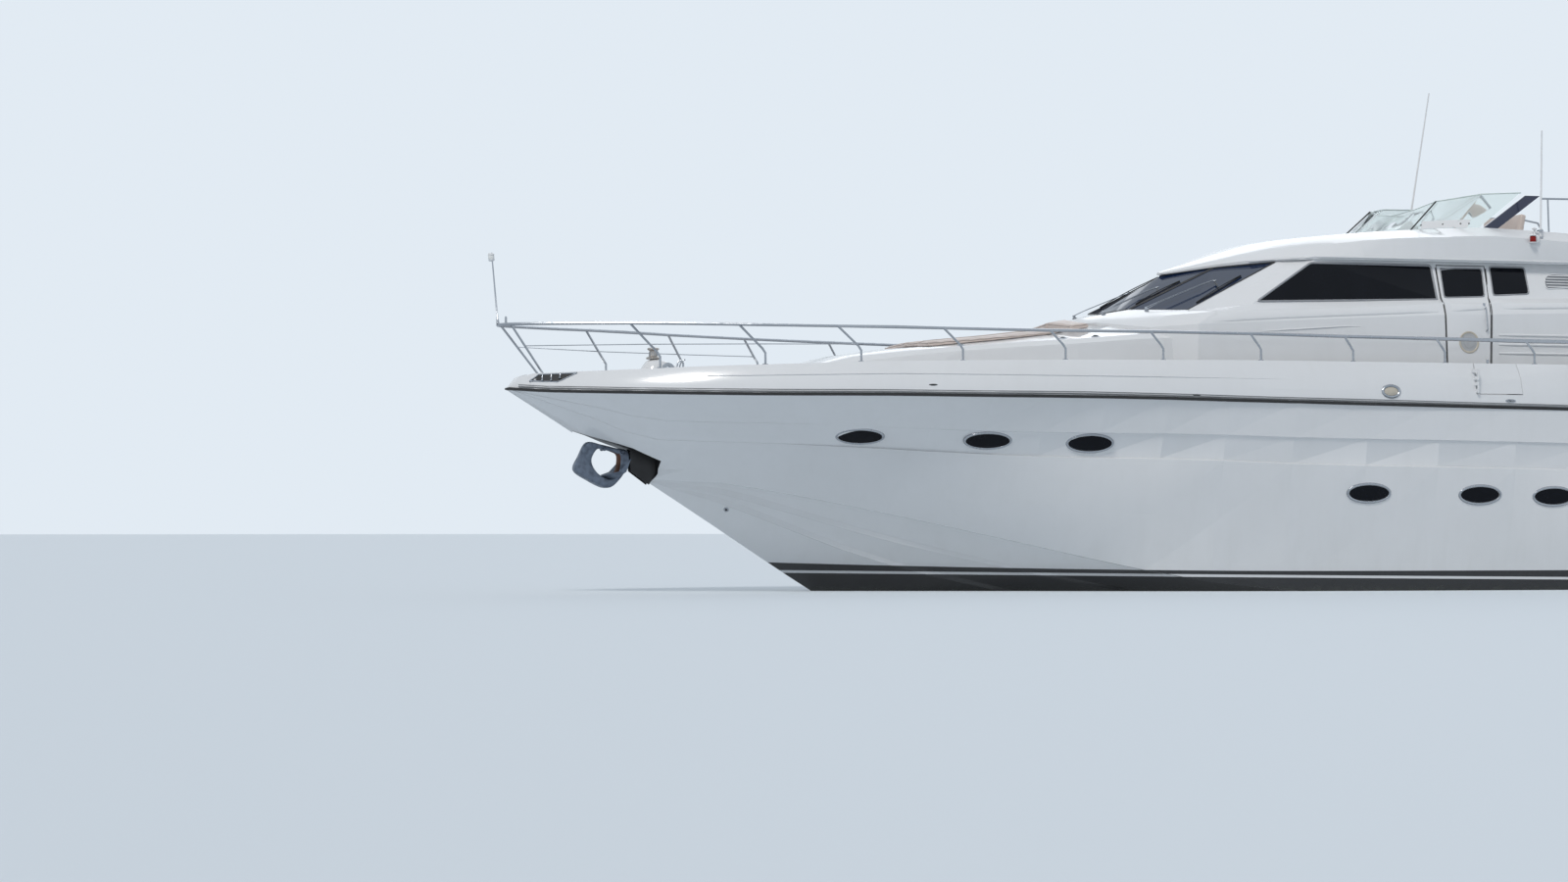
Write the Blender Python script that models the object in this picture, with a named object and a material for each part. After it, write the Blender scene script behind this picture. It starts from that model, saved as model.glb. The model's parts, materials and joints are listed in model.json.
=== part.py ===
"""Flybridge motor yacht, 25 m over all.

Metres.  +X points to the bow, +Y to port and +Z up.  The origin is on the
centreline at the waterline, amidships.  Tables give stations as s, the
distance aft of the stem head, with b the distance off the centreline and z
the height above the waterline.
"""
import math
from bisect import bisect_right

import bmesh
import bpy
from mathutils import Matrix, Vector

# Sizes.
LENGTH = 25.0            # stem head to the end of the swim platform
GAP = 0.0003             # between two pieces that lie on each other
SEAM = 0.012             # round doors, lids and hatches
SIDES = (("port", 1), ("stbd", -1))

# Stations shared by the hull, the deck and the coachroof.
STATIONS = (0.0, 0.12, 0.28, 0.45, 0.75, 1.1, 1.5, 1.95, 2.4, 2.9, 3.4, 4.0, 4.6, 5.3,
            6.0, 6.8, 7.6, 8.5, 9.4, 10.4, 11.5, 12.6, 13.8, 15.0, 16.5, 18.0, 19.5,
            21.0, 22.0, 22.9)
TRANSOM = STATIONS[-1]
DECK_END = 21.0          # where the cockpit sole stops at the stairs

# Hull lines.
KEEL_ROWS = (            # s, z
    (0.0, 2.74), (1.4, 1.87), (2.8, 0.99), (4.2, 0.10), (4.9, -0.30), (5.8, -0.60),
    (7.2, -0.88), (9.5, -1.08), (12.5, -1.20), (16.0, -1.22), (20.0, -1.14), (22.9, -1.04))
CHINE_ROWS = (           # s, b, z
    (0.0, 0.015, 2.745), (1.0, 0.03, 2.14), (2.0, 0.06, 1.54), (3.08, 0.55, 1.48),
    (3.44, 0.70, 1.40), (4.35, 1.05, 1.22), (5.68, 1.45, 0.93), (7.22, 1.85, 0.58),
    (8.31, 2.10, 0.33), (10.0, 2.38, 0.06), (12.5, 2.58, -0.12), (16.0, 2.66, -0.20),
    (22.9, 2.58, -0.16))
KNUCKLE_ROWS = (         # s, b, z
    (0.0, 0.03, 2.755), (1.0, 0.05, 2.20), (1.92, 0.09, 1.70), (2.42, 0.35, 1.67),
    (3.39, 0.85, 1.62), (4.28, 1.25, 1.54), (5.59, 1.70, 1.38), (7.11, 2.10, 1.18),
    (9.38, 2.50, 0.97), (10.62, 2.62, 0.82), (12.51, 2.72, 0.66), (14.73, 2.78, 0.53),
    (18.0, 2.80, 0.42), (22.9, 2.74, 0.38))
SHEER_ROWS = (           # s, b, z
    (0.0, 0.05, 2.77), (0.41, 0.55, 2.73), (1.31, 1.25, 2.70), (2.25, 1.75, 2.68),
    (3.24, 2.10, 2.67), (4.51, 2.45, 2.67), (5.82, 2.70, 2.66), (7.18, 2.85, 2.655),
    (8.59, 2.95, 2.64), (10.04, 3.0, 2.61), (11.52, 3.02, 2.59), (13.04, 3.02, 2.57),
    (14.59, 3.02, 2.54), (18.0, 3.0, 2.50), (22.9, 2.90, 2.46))
# Recessed band along the topside: shares of the height from knuckle to
# sheer, its depth, and how far the topside is hollowed (flare).
BAND_ROWS = (            # s, low, high, depth, flare
    (0.0, 0.38, 0.64, 0.0, 0.0), (2.0, 0.38, 0.64, 0.0, 0.06),
    (3.4, 0.38, 0.64, 0.0, 0.07), (4.6, 0.39, 0.64, 0.024, 0.05),
    (9.3, 0.50, 0.715, 0.024, -0.01), (14.65, 0.577, 0.766, 0.024, -0.05),
    (22.9, 0.60, 0.78, 0.024, -0.05))
SPRAY_RAILS = (          # share of the bottom's width, rail width
    (0.55, 0.06), (0.76, 0.06))
CHINE_FLAT = 0.10

# Deck moulding.
BULWARK_ROWS = (         # s, b, z of the top's outer edge
    (0.0, 0.04, 2.80), (0.12, 0.145, 2.925), (0.28, 0.285, 2.972), (0.45, 0.42, 2.98), (1.35, 1.10, 3.01), (2.30, 1.60, 3.05),
    (3.29, 1.95, 3.08), (4.56, 2.30, 3.12), (5.88, 2.55, 3.14), (7.24, 2.72, 3.16),
    (8.65, 2.82, 3.17), (10.09, 2.88, 3.18), (14.66, 2.90, 3.18), (18.0, 2.88, 3.18),
    (21.0, 2.82, 3.12))
DECK_ROWS = (            # s, z of the deck's surface
    (0.0, 2.93), (4.6, 2.93), (5.3, 2.90), (6.8, 2.74), (7.6, 2.68), (22.9, 2.68))
BULWARK_CAP = 0.10
TIP = 0.12               # up to here the two bulwarks meet on the centreline
BULWARK_BATTER = 0.04    # the inner face leans out by this much
CREASES = ((0.30, 0.022), (0.66, 0.030))   # share of the height, bulge

RUB_RAIL_HEIGHT = 0.042
RUB_RAIL_DEPTH = 0.035

COACHROOF_ROWS = (       # s, b of the top edge, z there, z at the centre
    (4.0, 0.98, 3.06, 3.10), (4.6, 1.24, 3.22, 3.27), (5.3, 1.32, 3.31, 3.37),
    (6.0, 1.45, 3.38, 3.44), (6.8, 1.66, 3.44, 3.52), (7.6, 1.88, 3.49, 3.62),
    (8.5, 2.02, 3.56, 3.80), (9.4, 2.10, 3.60, 3.95))
COACHROOF_FLARE = 0.10   # the foot lies this far outside the top edge
COACHROOF_ROUND = 0.07

# Materials.
COLOURS = {              # colour, roughness, metallic, alpha
    "gelcoat": ((0.83, 0.85, 0.87), 0.25, 0.0, 1.0),
    "bottom_paint": ((0.02, 0.02, 0.025), 0.6, 0.0, 1.0),
    "stainless": ((0.62, 0.63, 0.65), 0.22, 1.0, 1.0),
    "bronze": ((0.55, 0.38, 0.16), 0.35, 1.0, 1.0),
    "tinted_glass": ((0.02, 0.03, 0.05), 0.05, 0.0, 1.0),
    "clear_screen": ((0.45, 0.62, 0.60), 0.05, 0.0, 0.5),
    "cushion": ((0.62, 0.55, 0.44), 0.9, 0.0, 1.0),
    "teak": ((0.42, 0.26, 0.13), 0.7, 0.0, 1.0),
    "navy": ((0.02, 0.04, 0.12), 0.3, 0.0, 1.0),
    "black_rubber": ((0.03, 0.03, 0.03), 0.6, 0.0, 1.0),
    "engine_grey": ((0.55, 0.57, 0.58), 0.5, 0.0, 1.0),
}


def paint(name):
    """The material of that name, made on first use."""
    known = bpy.data.materials.get(name)
    if known:
        return known
    colour, roughness, metallic, alpha = COLOURS[name]
    made = bpy.data.materials.new(name)
    made.use_nodes = True
    shader = made.node_tree.nodes["Principled BSDF"]
    shader.inputs["Base Color"].default_value = (*colour, 1.0)
    shader.inputs["Roughness"].default_value = roughness
    shader.inputs["Metallic"].default_value = metallic
    shader.inputs["Alpha"].default_value = alpha
    made.diffuse_color = (*colour, alpha)
    return made


# Geometry.
def at(s, b, z):
    """The point s aft of the stem head, b to port, z above the water."""
    return Vector((LENGTH / 2 - s, b, z))


def mix(a, b, share):
    return a + (b - a) * share


def fair(rows):
    """A function of s that passes smoothly, without overshoot, through rows."""
    knots = [row[0] for row in rows]
    columns = list(zip(*rows))[1:]

    def slopes(values):
        rise = [(values[i + 1] - values[i]) / (knots[i + 1] - knots[i])
                for i in range(len(knots) - 1)]
        inner = [0.0 if a * b <= 0 else 2 * a * b / (a + b) for a, b in zip(rise, rise[1:])]
        return [rise[0], *inner, rise[-1]]

    tangents = [slopes(values) for values in columns]

    def value(s):
        s = min(max(s, knots[0]), knots[-1])
        i = min(bisect_right(knots, s) - 1, len(knots) - 2)
        step = knots[i + 1] - knots[i]
        t = (s - knots[i]) / step
        found = []
        for values, tangent in zip(columns, tangents):
            found.append((2 * t ** 3 - 3 * t ** 2 + 1) * values[i]
                         + (t ** 3 - 2 * t ** 2 + t) * step * tangent[i]
                         + (3 * t ** 2 - 2 * t ** 3) * values[i + 1]
                         + (t ** 3 - t ** 2) * step * tangent[i + 1])
        return found if len(found) > 1 else found[0]

    return value


def straight(rows):
    """A function of s that passes through rows in straight lines."""
    knots = [row[0] for row in rows]

    def value(s):
        s = min(max(s, knots[0]), knots[-1])
        i = min(bisect_right(knots, s) - 1, len(knots) - 2)
        share = (s - knots[i]) / (knots[i + 1] - knots[i])
        found = [mix(a, b, share) for a, b in zip(rows[i][1:], rows[i + 1][1:])]
        return found if len(found) > 1 else found[0]

    return value


def both_sides(half):
    """A closed ring from half of it, given from centre to centre."""
    port = [p for p in half if p.y > 1e-6]
    start = [half[0]] if half[0].y <= 1e-6 else []
    end = [half[-1]] if half[-1].y <= 1e-6 else []
    stbd = [Vector((p.x, -p.y, p.z)) for p in reversed(port)]
    return start + port + end + stbd


def skin(bm, rings, caps=True, closed=True):
    """Faces between rings of equally many points, with both ends capped."""
    loops = [[bm.verts.new(p) for p in ring] for ring in rings]
    count = len(loops[0])
    for a, b in zip(loops, loops[1:]):
        for i in range(count if closed else count - 1):
            j = (i + 1) % count
            bm.faces.new((a[i], a[j], b[j]))
            bm.faces.new((a[i], b[j], b[i]))
    if caps:
        bm.faces.new(loops[0][::-1])
        bm.faces.new(loops[-1])


def slab(bm, outline, near, far, axis="y"):
    """A prism of an outline: (s, z) pushed across, (s, b) up or (b, z) along."""
    def place(p, depth):
        if axis == "y":
            return at(p[0], depth, p[1])
        if axis == "z":
            return at(p[0], p[1], depth)
        return at(depth, p[0], p[1])

    skin(bm, [[place(p, depth) for p in outline] for depth in (near, far)])


def brick(bm, s, b, z):
    """A box between two stations, two breadths and two heights."""
    slab(bm, [(s[0], z[0]), (s[1], z[0]), (s[1], z[1]), (s[0], z[1])], b[0], b[1])


def directions(path):
    """The unit tangent at each point of a path."""
    ends = [path[0] * 2 - path[1], *path, path[-1] * 2 - path[-2]]
    found = []
    for before, here, after in zip(ends, ends[1:], ends[2:]):
        found.append(((here - before).normalized() + (after - here).normalized()).normalized())
    return found


def tube(bm, path, radius, sides=6, end_radius=None):
    """A round bar along a path, tapering to end_radius."""
    path = [Vector(p) for p in path]
    last = len(path) - 1
    side = Vector((0, 0, 1)).cross(directions(path)[0])
    if side.length < 0.1:
        side = Vector((0, 1, 0))
    rings = []
    for i, (point, ahead) in enumerate(zip(path, directions(path))):
        side = (side - ahead * side.dot(ahead)).normalized()
        other = ahead.cross(side)
        r = radius if end_radius is None else mix(radius, end_radius, i / last)
        rings.append([point + (side * math.cos(a) + other * math.sin(a)) * r
                      for a in (2 * math.pi * k / sides for k in range(sides))])
    skin(bm, rings)


def trim_strip(bm, path, profile):
    """A strip along a level path; profile points are (outboard, up)."""
    path = [Vector(p) for p in path]
    rings = []
    for i, point in enumerate(path):
        before = path[i] - path[i - 1] if i else path[1] - path[0]
        after = path[i + 1] - path[i] if i + 1 < len(path) else before
        a = Vector((-before.y, before.x, 0)).normalized()
        b = Vector((-after.y, after.x, 0)).normalized()
        mitre = (a + b).normalized()
        mitre = mitre / max(mitre.dot(a), 0.3)
        rings.append([point + mitre * out + Vector((0, 0, up)) for out, up in profile])
    skin(bm, rings)


def turned(bm, profile, centre, axis, sides=16):
    """A solid of revolution; profile points are (along the axis, radius)."""
    axis = Vector(axis).normalized()
    side = axis.orthogonal().normalized()
    other = axis.cross(side)
    rings = []
    for along, radius in profile:
        rings.append([Vector(centre) + axis * along
                      + (side * math.cos(a) + other * math.sin(a)) * radius
                      for a in (2 * math.pi * k / sides for k in range(sides))])
    skin(bm, rings)


def solid(name, bm, colour, pivot=(0, 0, 0), smooth=False):
    """One closed piece from a mesh in world coordinates."""
    bmesh.ops.remove_doubles(bm, verts=bm.verts, dist=0.00001)
    bmesh.ops.dissolve_degenerate(bm, edges=bm.edges, dist=0.00001)
    bmesh.ops.recalc_face_normals(bm, faces=bm.faces)
    if bm.calc_volume(signed=True) < 0:
        bmesh.ops.reverse_faces(bm, faces=bm.faces)
    bmesh.ops.translate(bm, vec=-Vector(pivot), verts=bm.verts)
    mesh = bpy.data.meshes.new(name)
    bm.to_mesh(mesh)
    bm.free()
    mesh.materials.append(paint(colour))
    obj = bpy.data.objects.new(name, mesh)
    obj.location = pivot
    bpy.context.scene.collection.objects.link(obj)
    if smooth:
        mesh.shade_smooth()
    return obj


def tool(name, bm):
    """A hidden solid that other pieces are cut with or joined to."""
    obj = solid(name, bm, "engine_grey")
    obj.hide_render = True
    obj.display_type = "WIRE"
    return obj


def combine(obj, other, operation="DIFFERENCE"):
    """Cuts obj with other, joins the two or keeps what they share."""
    step = obj.modifiers.new(other.name, "BOOLEAN")
    step.operation = operation
    step.solver = "EXACT"
    step.object = other
    return obj


def joined(obj, tools):
    """Joins hidden solids to obj one after another."""
    for part in tools:
        combine(obj, part, "UNION")
    return obj


def welded(obj, tools):
    """Joins many hidden solids to obj in one step."""
    group = bpy.data.collections.new(obj.name + " parts")
    bpy.context.scene.collection.children.link(group)
    for part in tools:
        bpy.context.scene.collection.objects.unlink(part)
        group.objects.link(part)
    step = obj.modifiers.new("parts", "BOOLEAN")
    step.operation = "UNION"
    step.solver = "EXACT"
    step.operand_type = "COLLECTION"
    step.collection = group
    return obj


def chord(line, s, stations=STATIONS):
    """A line's value between stations, where the surface is flat."""
    i = min(bisect_right(stations, s) - 1, len(stations) - 2)
    share = (s - stations[i]) / (stations[i + 1] - stations[i])
    a, b = line(stations[i]), line(stations[i + 1])
    return [mix(x, y, share) for x, y in zip(a, b)]


KEEL = fair(KEEL_ROWS)
CHINE = fair(CHINE_ROWS)
KNUCKLE = fair(KNUCKLE_ROWS)
SHEER = fair(SHEER_ROWS)
BAND = fair(BAND_ROWS)
BULWARK = fair(BULWARK_ROWS)
DECK = straight(DECK_ROWS)
COACHROOF = fair(COACHROOF_ROWS)


# Hull, deck.
def bottom_at(s, b):
    """Height of the hull's bottom at a station and a distance off centre."""
    chine_b, chine_z = CHINE(s)
    return mix(KEEL(s), chine_z, b / (chine_b - CHINE_FLAT))


def hull_section(s):
    """One ring of the hull, from keel to sheer on both sides."""
    keel_z = KEEL(s)
    chine_b, chine_z = CHINE(s)
    knuckle_b, knuckle_z = KNUCKLE(s)
    sheer_b, sheer_z = SHEER(s)
    low, high, depth, flare = BAND(s)
    small = min(1.0, chine_b / 0.6)
    inner_b = chine_b - CHINE_FLAT * small
    half = [at(s, 0, keel_z)]
    for share, width in SPRAY_RAILS:
        b, z = inner_b * share, mix(keel_z, chine_z, share)
        outer = b + width * small
        half += [at(s, b, z), at(s, outer, z - 0.004),
                 at(s, outer + 0.003, mix(keel_z, chine_z, outer / inner_b))]
    half += [at(s, inner_b, chine_z), at(s, chine_b, chine_z + 0.002)]
    half.append(at(s, knuckle_b, knuckle_z))

    def topside(share, inset, lift=0.0):
        b = mix(knuckle_b, sheer_b, share) - flare * 4 * share * (1 - share) - inset
        return at(s, b, mix(knuckle_z, sheer_z, share) + lift)

    half += [topside(low, 0.0), topside(low, depth, 0.01), topside(high, depth, -0.01),
             topside(high, 0.0), topside(1.0, 0.0)]
    return both_sides(half)


def bulwark_foot(s):
    """Where the bulwark's inner face meets the deck, b and z."""
    top_b, top_z = BULWARK(s)
    if s <= TIP:
        return GAP / 2, min(DECK(s), top_z - 0.01)
    inner_b = max(top_b - BULWARK_CAP, top_b * 0.5)
    return max(inner_b - BULWARK_BATTER, top_b * 0.4), DECK(s)


def bulwark_section(s, sign):
    """One ring of the bulwark on one side, from the sheer to its cap."""
    sheer_b, sheer_z = SHEER(s)
    top_b, top_z = BULWARK(s)
    floor_z = sheer_z + GAP
    foot_b, foot_z = bulwark_foot(s)
    small = min(1.0, sheer_b)
    ring = [(foot_b, floor_z), (sheer_b, floor_z)]
    for share, bulge in CREASES:
        ring.append((mix(sheer_b, top_b, share) + bulge * small, mix(floor_z, top_z, share)))
    ring += [(top_b, top_z), (max(top_b - BULWARK_CAP, top_b * 0.5), top_z), (foot_b, foot_z)]
    return [at(s, sign * b, z) for b, z in ring]


def deck_section(s):
    """One ring of the deck between the bulwarks."""
    floor_z = SHEER(s)[1] + GAP
    stations = [m for m in STATIONS if m >= TIP]
    edge_b = chord(bulwark_foot, s, stations)[0] - GAP * 1.5
    deck_z = chord(lambda m: (DECK(m),), s, stations)[0]
    return both_sides([at(s, 0, floor_z), at(s, edge_b, floor_z), at(s, edge_b, deck_z),
                       at(s, 0, deck_z)])


def coachroof_section(s):
    """One ring of the low trunk forward of the windshield."""
    edge_b, edge_z, crown_z = COACHROOF(s)
    foot_z = DECK(s) + GAP
    foot_b = edge_b + COACHROOF_FLARE
    half = [at(s, 0, foot_z), at(s, foot_b, foot_z),
            at(s, edge_b + 0.02, edge_z - COACHROOF_ROUND),
            at(s, edge_b - COACHROOF_ROUND, edge_z),
            at(s, edge_b * 0.5, mix(edge_z, crown_z, 0.72)), at(s, 0, crown_z)]
    return both_sides(half)


ANCHOR_POCKET = ((0.90, 2.205), (2.08, 1.84), (2.08, 1.62), (1.98, 1.46), (1.80, 1.30), (0.90, 1.30))
ANCHOR_POCKET_B = 0.30

ENGINE = {"length": 2.1, "width": 0.95, "height": 1.15, "s": 16.7, "b": 0.95}
ENGINE_ROOM = {"s": (15.2, 18.2), "b": 1.46, "floor": -0.54}

GARAGE = {"s": 20.3, "b": 1.45, "z": (0.62, 1.98)}       # forward end, half width, height
LID_THICK = 0.06
STAIR = {"b": (1.75, 2.50), "steps": 8, "going": 0.26, "foot_z": 0.46}
WING_SLOPE = ((21.35, 2.70), (22.2, 1.55), (22.95, 0.98), (23.2, 0.98), (23.2, 2.70))

SHAFT = {"b": 0.95, "inner": (18.3, -0.74), "outer": (21.42, -1.345), "radius": 0.045}
PROPELLER = {"radius": 0.46, "hub": 0.10, "length": 0.24, "blades": 5, "sides": 20}
BLADE_ROWS = (           # share of the radius, chord, pitch angle, skew, half thickness
    (0.15, 0.15, 50, 0.0, 0.016), (0.33, 0.20, 44, 0.01, 0.014), (0.50, 0.24, 39, 0.025, 0.012),
    (0.67, 0.26, 35, 0.045, 0.010), (0.83, 0.24, 32, 0.07, 0.008), (0.94, 0.17, 31, 0.095, 0.006),
    (1.0, 0.07, 30, 0.12, 0.004))
BRACKET = {"s": 20.98, "length": 0.26, "radius": 0.085, "arm": 0.028}
BORE_CLEARANCE = 0.0004
RUDDER = {"s": 21.98, "b": 0.95, "ahead": 0.16, "aft": 0.42, "foot_z": -1.66, "thick": 0.07,
          "stock": 0.04}
TAB = {"b": (1.15, 2.25), "length": 0.42, "thick": 0.02, "drop": 0.05}
PLATFORM = {"end": 25.0, "b": 2.62, "z": (0.34, 0.46), "corner": 0.55}


def shaft_point(share, b):
    """A point along the propeller shaft's line."""
    (s0, z0), (s1, z1) = SHAFT["inner"], SHAFT["outer"]
    return at(mix(s0, s1, share), b, mix(z0, z1, share))


def make_hull():
    bm = bmesh.new()
    skin(bm, [hull_section(s) for s in STATIONS])
    hull = solid("hull", bm, "gelcoat", smooth=False)

    bm = bmesh.new()
    slab(bm, ANCHOR_POCKET, -ANCHOR_POCKET_B, ANCHOR_POCKET_B)
    combine(hull, tool("anchor pocket", bm))

    bm = bmesh.new()
    room = ENGINE_ROOM
    brick(bm, room["s"], (-room["b"], room["b"]), (room["floor"], 3.0))
    combine(hull, tool("engine room", bm))

    bm = bmesh.new()
    brick(bm, (GARAGE["s"], 23.4), (-GARAGE["b"], GARAGE["b"]), GARAGE["z"])
    combine(hull, tool("garage", bm))
    recess = LID_THICK + 0.02
    bm = bmesh.new()
    brick(bm, (TRANSOM - recess, 23.3), (-GARAGE["b"] - 0.09, GARAGE["b"] + 0.09),
          (GARAGE["z"][0] - 0.06, GARAGE["z"][1] + 0.08))
    combine(hull, tool("garage recess", bm))

    rise = (DECK(DECK_END) - STAIR["foot_z"]) / STAIR["steps"]
    for side, sign in SIDES:
        outline = [(TRANSOM + 0.5, 3.0), (TRANSOM + 0.5, STAIR["foot_z"])]
        for i in range(STAIR["steps"]):
            edge = TRANSOM - i * STAIR["going"]
            outline += [(edge, STAIR["foot_z"] + i * rise),
                        (edge, STAIR["foot_z"] + (i + 1) * rise)]
        outline = outline[:2] + outline[3:] + [(DECK_END - 0.4, outline[-1][1]),
                                               (DECK_END - 0.4, 3.0)]
        bm = bmesh.new()
        slab(bm, outline, sign * STAIR["b"][0], sign * STAIR["b"][1])
        combine(hull, tool("stair " + side, bm))
        bm = bmesh.new()
        slab(bm, WING_SLOPE, sign * (STAIR["b"][1] - 0.01), sign * 3.4)
        combine(hull, tool("wing " + side, bm))
        combine(hull, make_bracket(side, sign), "UNION")
        bm = bmesh.new()
        clear = (SHAFT["radius"] + BORE_CLEARANCE) / math.cos(math.pi / 24)
        tube(bm, [shaft_point(-0.02, sign * SHAFT["b"]), shaft_point(1.2, sign * SHAFT["b"])],
             clear, sides=24)
        combine(hull, tool("shaft bore " + side, bm))
    return hull


def make_bracket(side, sign):
    """The strut below the hull that carries the shaft's end."""
    (s0, z0), (s1, z1) = SHAFT["inner"], SHAFT["outer"]
    share = (BRACKET["s"] - s0) / (s1 - s0)
    middle = shaft_point(share, sign * SHAFT["b"])
    ahead = (shaft_point(1, 0) - shaft_point(0, 0)).normalized()
    half = BRACKET["length"] / 2
    bm = bmesh.new()
    tube(bm, [middle - ahead * half, middle + ahead * half], BRACKET["radius"], sides=12)
    barrel = tool("bracket barrel " + side, bm)
    arms = []
    for lean in (-0.42, 0.30):
        bm = bmesh.new()
        root_z = bottom_at(BRACKET["s"], SHAFT["b"]) + 0.12
        root = Vector((middle.x, middle.y + sign * lean, root_z))
        foil = ((-0.11, 0.0), (-0.05, 0.5), (0.04, 0.5), (0.11, 0.0), (0.04, -0.5), (-0.05, -0.5))
        rings = []
        for point in (Vector((middle.x, middle.y, middle.z + 0.03)), root):
            rings.append([point + Vector((along, across * BRACKET["arm"], 0))
                          for along, across in foil])
        skin(bm, rings)
        arms.append(tool("bracket arm " + side, bm))
    welded(barrel, arms)
    return barrel


def make_engines():
    e = ENGINE
    foot = ENGINE_ROOM["floor"] + GAP
    top = foot + e["height"]
    chamfer = 0.18
    for side, sign in SIDES:
        left = sign * e["b"] - e["width"] / 2
        right = sign * e["b"] + e["width"] / 2
        outline = [(left + chamfer, foot), (right - chamfer, foot), (right, foot + chamfer),
                   (right, top - chamfer), (right - chamfer, top), (left + chamfer, top),
                   (left, top - chamfer), (left, foot + chamfer)]
        bm = bmesh.new()
        slab(bm, outline, e["s"] - e["length"] / 2, e["s"] + e["length"] / 2, axis="x")
        solid("engine_" + side, bm, "engine_grey")


def make_deck():
    bm = bmesh.new()
    skin(bm, [deck_section(s) for s in (TIP + 0.02, *[m for m in STATIONS if TIP < m <= DECK_END])])
    return solid("deck", bm, "gelcoat")


def make_bulwarks():
    for side, sign in SIDES:
        bm = bmesh.new()
        skin(bm, [bulwark_section(s, sign) for s in STATIONS if s <= DECK_END])
        bulwark = solid("bulwark_" + side, bm, "gelcoat")
        joined(bulwark, make_gate(bulwark, side, sign))


def make_rub_rail():
    path = []
    for s in [s for s in STATIONS if s <= DECK_END][::-1]:
        b, z = SHEER(s)
        path.append(at(s, b, z))
    path += [Vector((p.x, -p.y, p.z)) for p in reversed(path)]
    h, d = RUB_RAIL_HEIGHT / 2, RUB_RAIL_DEPTH
    bm = bmesh.new()
    gap = GAP * 2
    trim_strip(bm, path, [(gap, -h), (d, -h * 0.6), (d, h * 0.6), (gap, h)])
    return solid("rub_rail", bm, "black_rubber")


# Deckhouse.
HOUSE_DECK_Z = DECK_ROWS[-1][1]
# Upright lines of the wall from the front's centre to the aft corner: s and b
# at the foot, then s, b, z at the lower crease, the shelf, the sill and the head.
HOUSE_POSTS = (
    ((8.25, 0.00), (8.30, 0.00, 3.78), (8.40, 0.00, 3.86), (8.68, 0.00, 3.92), (9.72, 0.00, 4.52)),
    ((8.28, 0.80), (8.36, 0.78, 3.77), (8.52, 0.77, 3.86), (8.86, 0.75, 3.96), (10.24, 0.70, 4.60)),
    ((8.60, 1.95), (8.68, 1.90, 3.66), (8.95, 1.85, 3.83), (9.33, 1.76, 3.91), (10.79, 1.65, 4.64)),
    ((9.20, 2.34), (9.25, 2.26, 3.70), (9.55, 2.19, 3.88), (10.14, 2.10, 4.00), (11.17, 1.98, 4.65)),
    ((12.95, 2.42), (12.95, 2.36, 3.88), (12.95, 2.28, 4.05), (12.97, 2.20, 4.11), (13.00, 1.98, 4.65)),
    ((15.20, 2.42), (15.20, 2.36, 3.94), (15.20, 2.28, 4.10), (15.20, 2.20, 4.16), (15.20, 1.98, 4.65)),
    ((18.70, 2.36), (18.70, 2.30, 3.99), (18.70, 2.22, 4.15), (18.70, 2.15, 4.20), (18.70, 1.93, 4.65)))
HOUSE_END = HOUSE_POSTS[-1][0][0]
WALL = 0.05
PANE_INSET = 0.004
PANE_THICK = 0.020
PANE_GAP = 0.0005
# Panes of the windshield between two posts: shares across and up.
SCREEN_PANES = (         # name, post, next post, across, up
    ("centre", 0, 1, (0.0, 0.985), (0.02, 0.97)),
    ("side", 1, 2, (0.01, 0.96), (0.02, 0.97)))
SIDE_WINDOWS = {         # s, z
    "forward": ((10.22, 4.035), (12.975, 4.105), (12.98, 4.60), (11.10, 4.60)),
    "middle": ((13.88, 4.18), (14.46, 4.21), (14.48, 4.60), (13.91, 4.60)),
    "saloon": ((15.42, 4.18), (18.32, 4.23), (18.17, 4.60), (15.42, 4.60))}
DOOR = ((13.04, 2.90), (13.03, 3.88), (13.04, 4.05), (13.06, 4.61),
        (13.84, 4.61), (13.77, 4.05), (13.75, 3.88), (13.71, 2.90))
DOOR_WINDOW = ((13.095, 4.135), (13.74, 4.16), (13.785, 4.57), (13.12, 4.565))
DOOR_RAKE = 0.5          # the aft jamb opens inboard by this much per metre of depth
SILL_RAKE = 0.32         # and the sill falls by this much
DOOR_AXIS = ((2.325, 2.96), (1.930, 4.58))   # b, z of the hinge line's ends, inboard of the wall
DOOR_HINGES = (          # z of the middle, how far outboard its straps reach
    (3.04, 0.070), (4.50, 0.065))
AFT_DOOR = {"b": 1.30, "z": (2.72, 4.46), "leaf": 0.045, "clear": 0.012}


def inset_ring(ring, distance):
    """A plan outline moved inward by a distance, heights kept."""
    found = []
    count = len(ring)
    for i, point in enumerate(ring):
        before = point - ring[i - 1]
        after = ring[(i + 1) % count] - point
        a = Vector((before.y, -before.x, 0)).normalized()
        b = Vector((after.y, -after.x, 0)).normalized()
        mitre = (a + b).normalized()
        found.append(point + mitre * distance / max(mitre.dot(a), 0.3))
    return found


def house_rings(distance=0.0):
    """Rings of the wall from foot to head, moved inward by a distance."""
    rings = []
    for level in range(5):
        half = []
        for post in HOUSE_POSTS:
            s, b = post[level][:2]
            half.append(at(s, b, post[level][2] if level else HOUSE_DECK_Z + GAP))
        ring = [half[0]]
        ring += [Vector((p.x, -p.y, p.z)) for p in half[1:]]
        ring += half[:0:-1]
        rings.append(inset_ring(ring, distance))
    return rings


def house_block(name, distance):
    """The house's whole volume, moved inward, as a hidden solid."""
    rings = house_rings(distance)
    rings.append([p + Vector((0, 0, 0.2)) for p in rings[-1]])
    rings.insert(0, [p - Vector((0, 0, 0.2)) for p in rings[0]])
    bm = bmesh.new()
    skin(bm, rings)
    return tool(name, bm)


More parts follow.
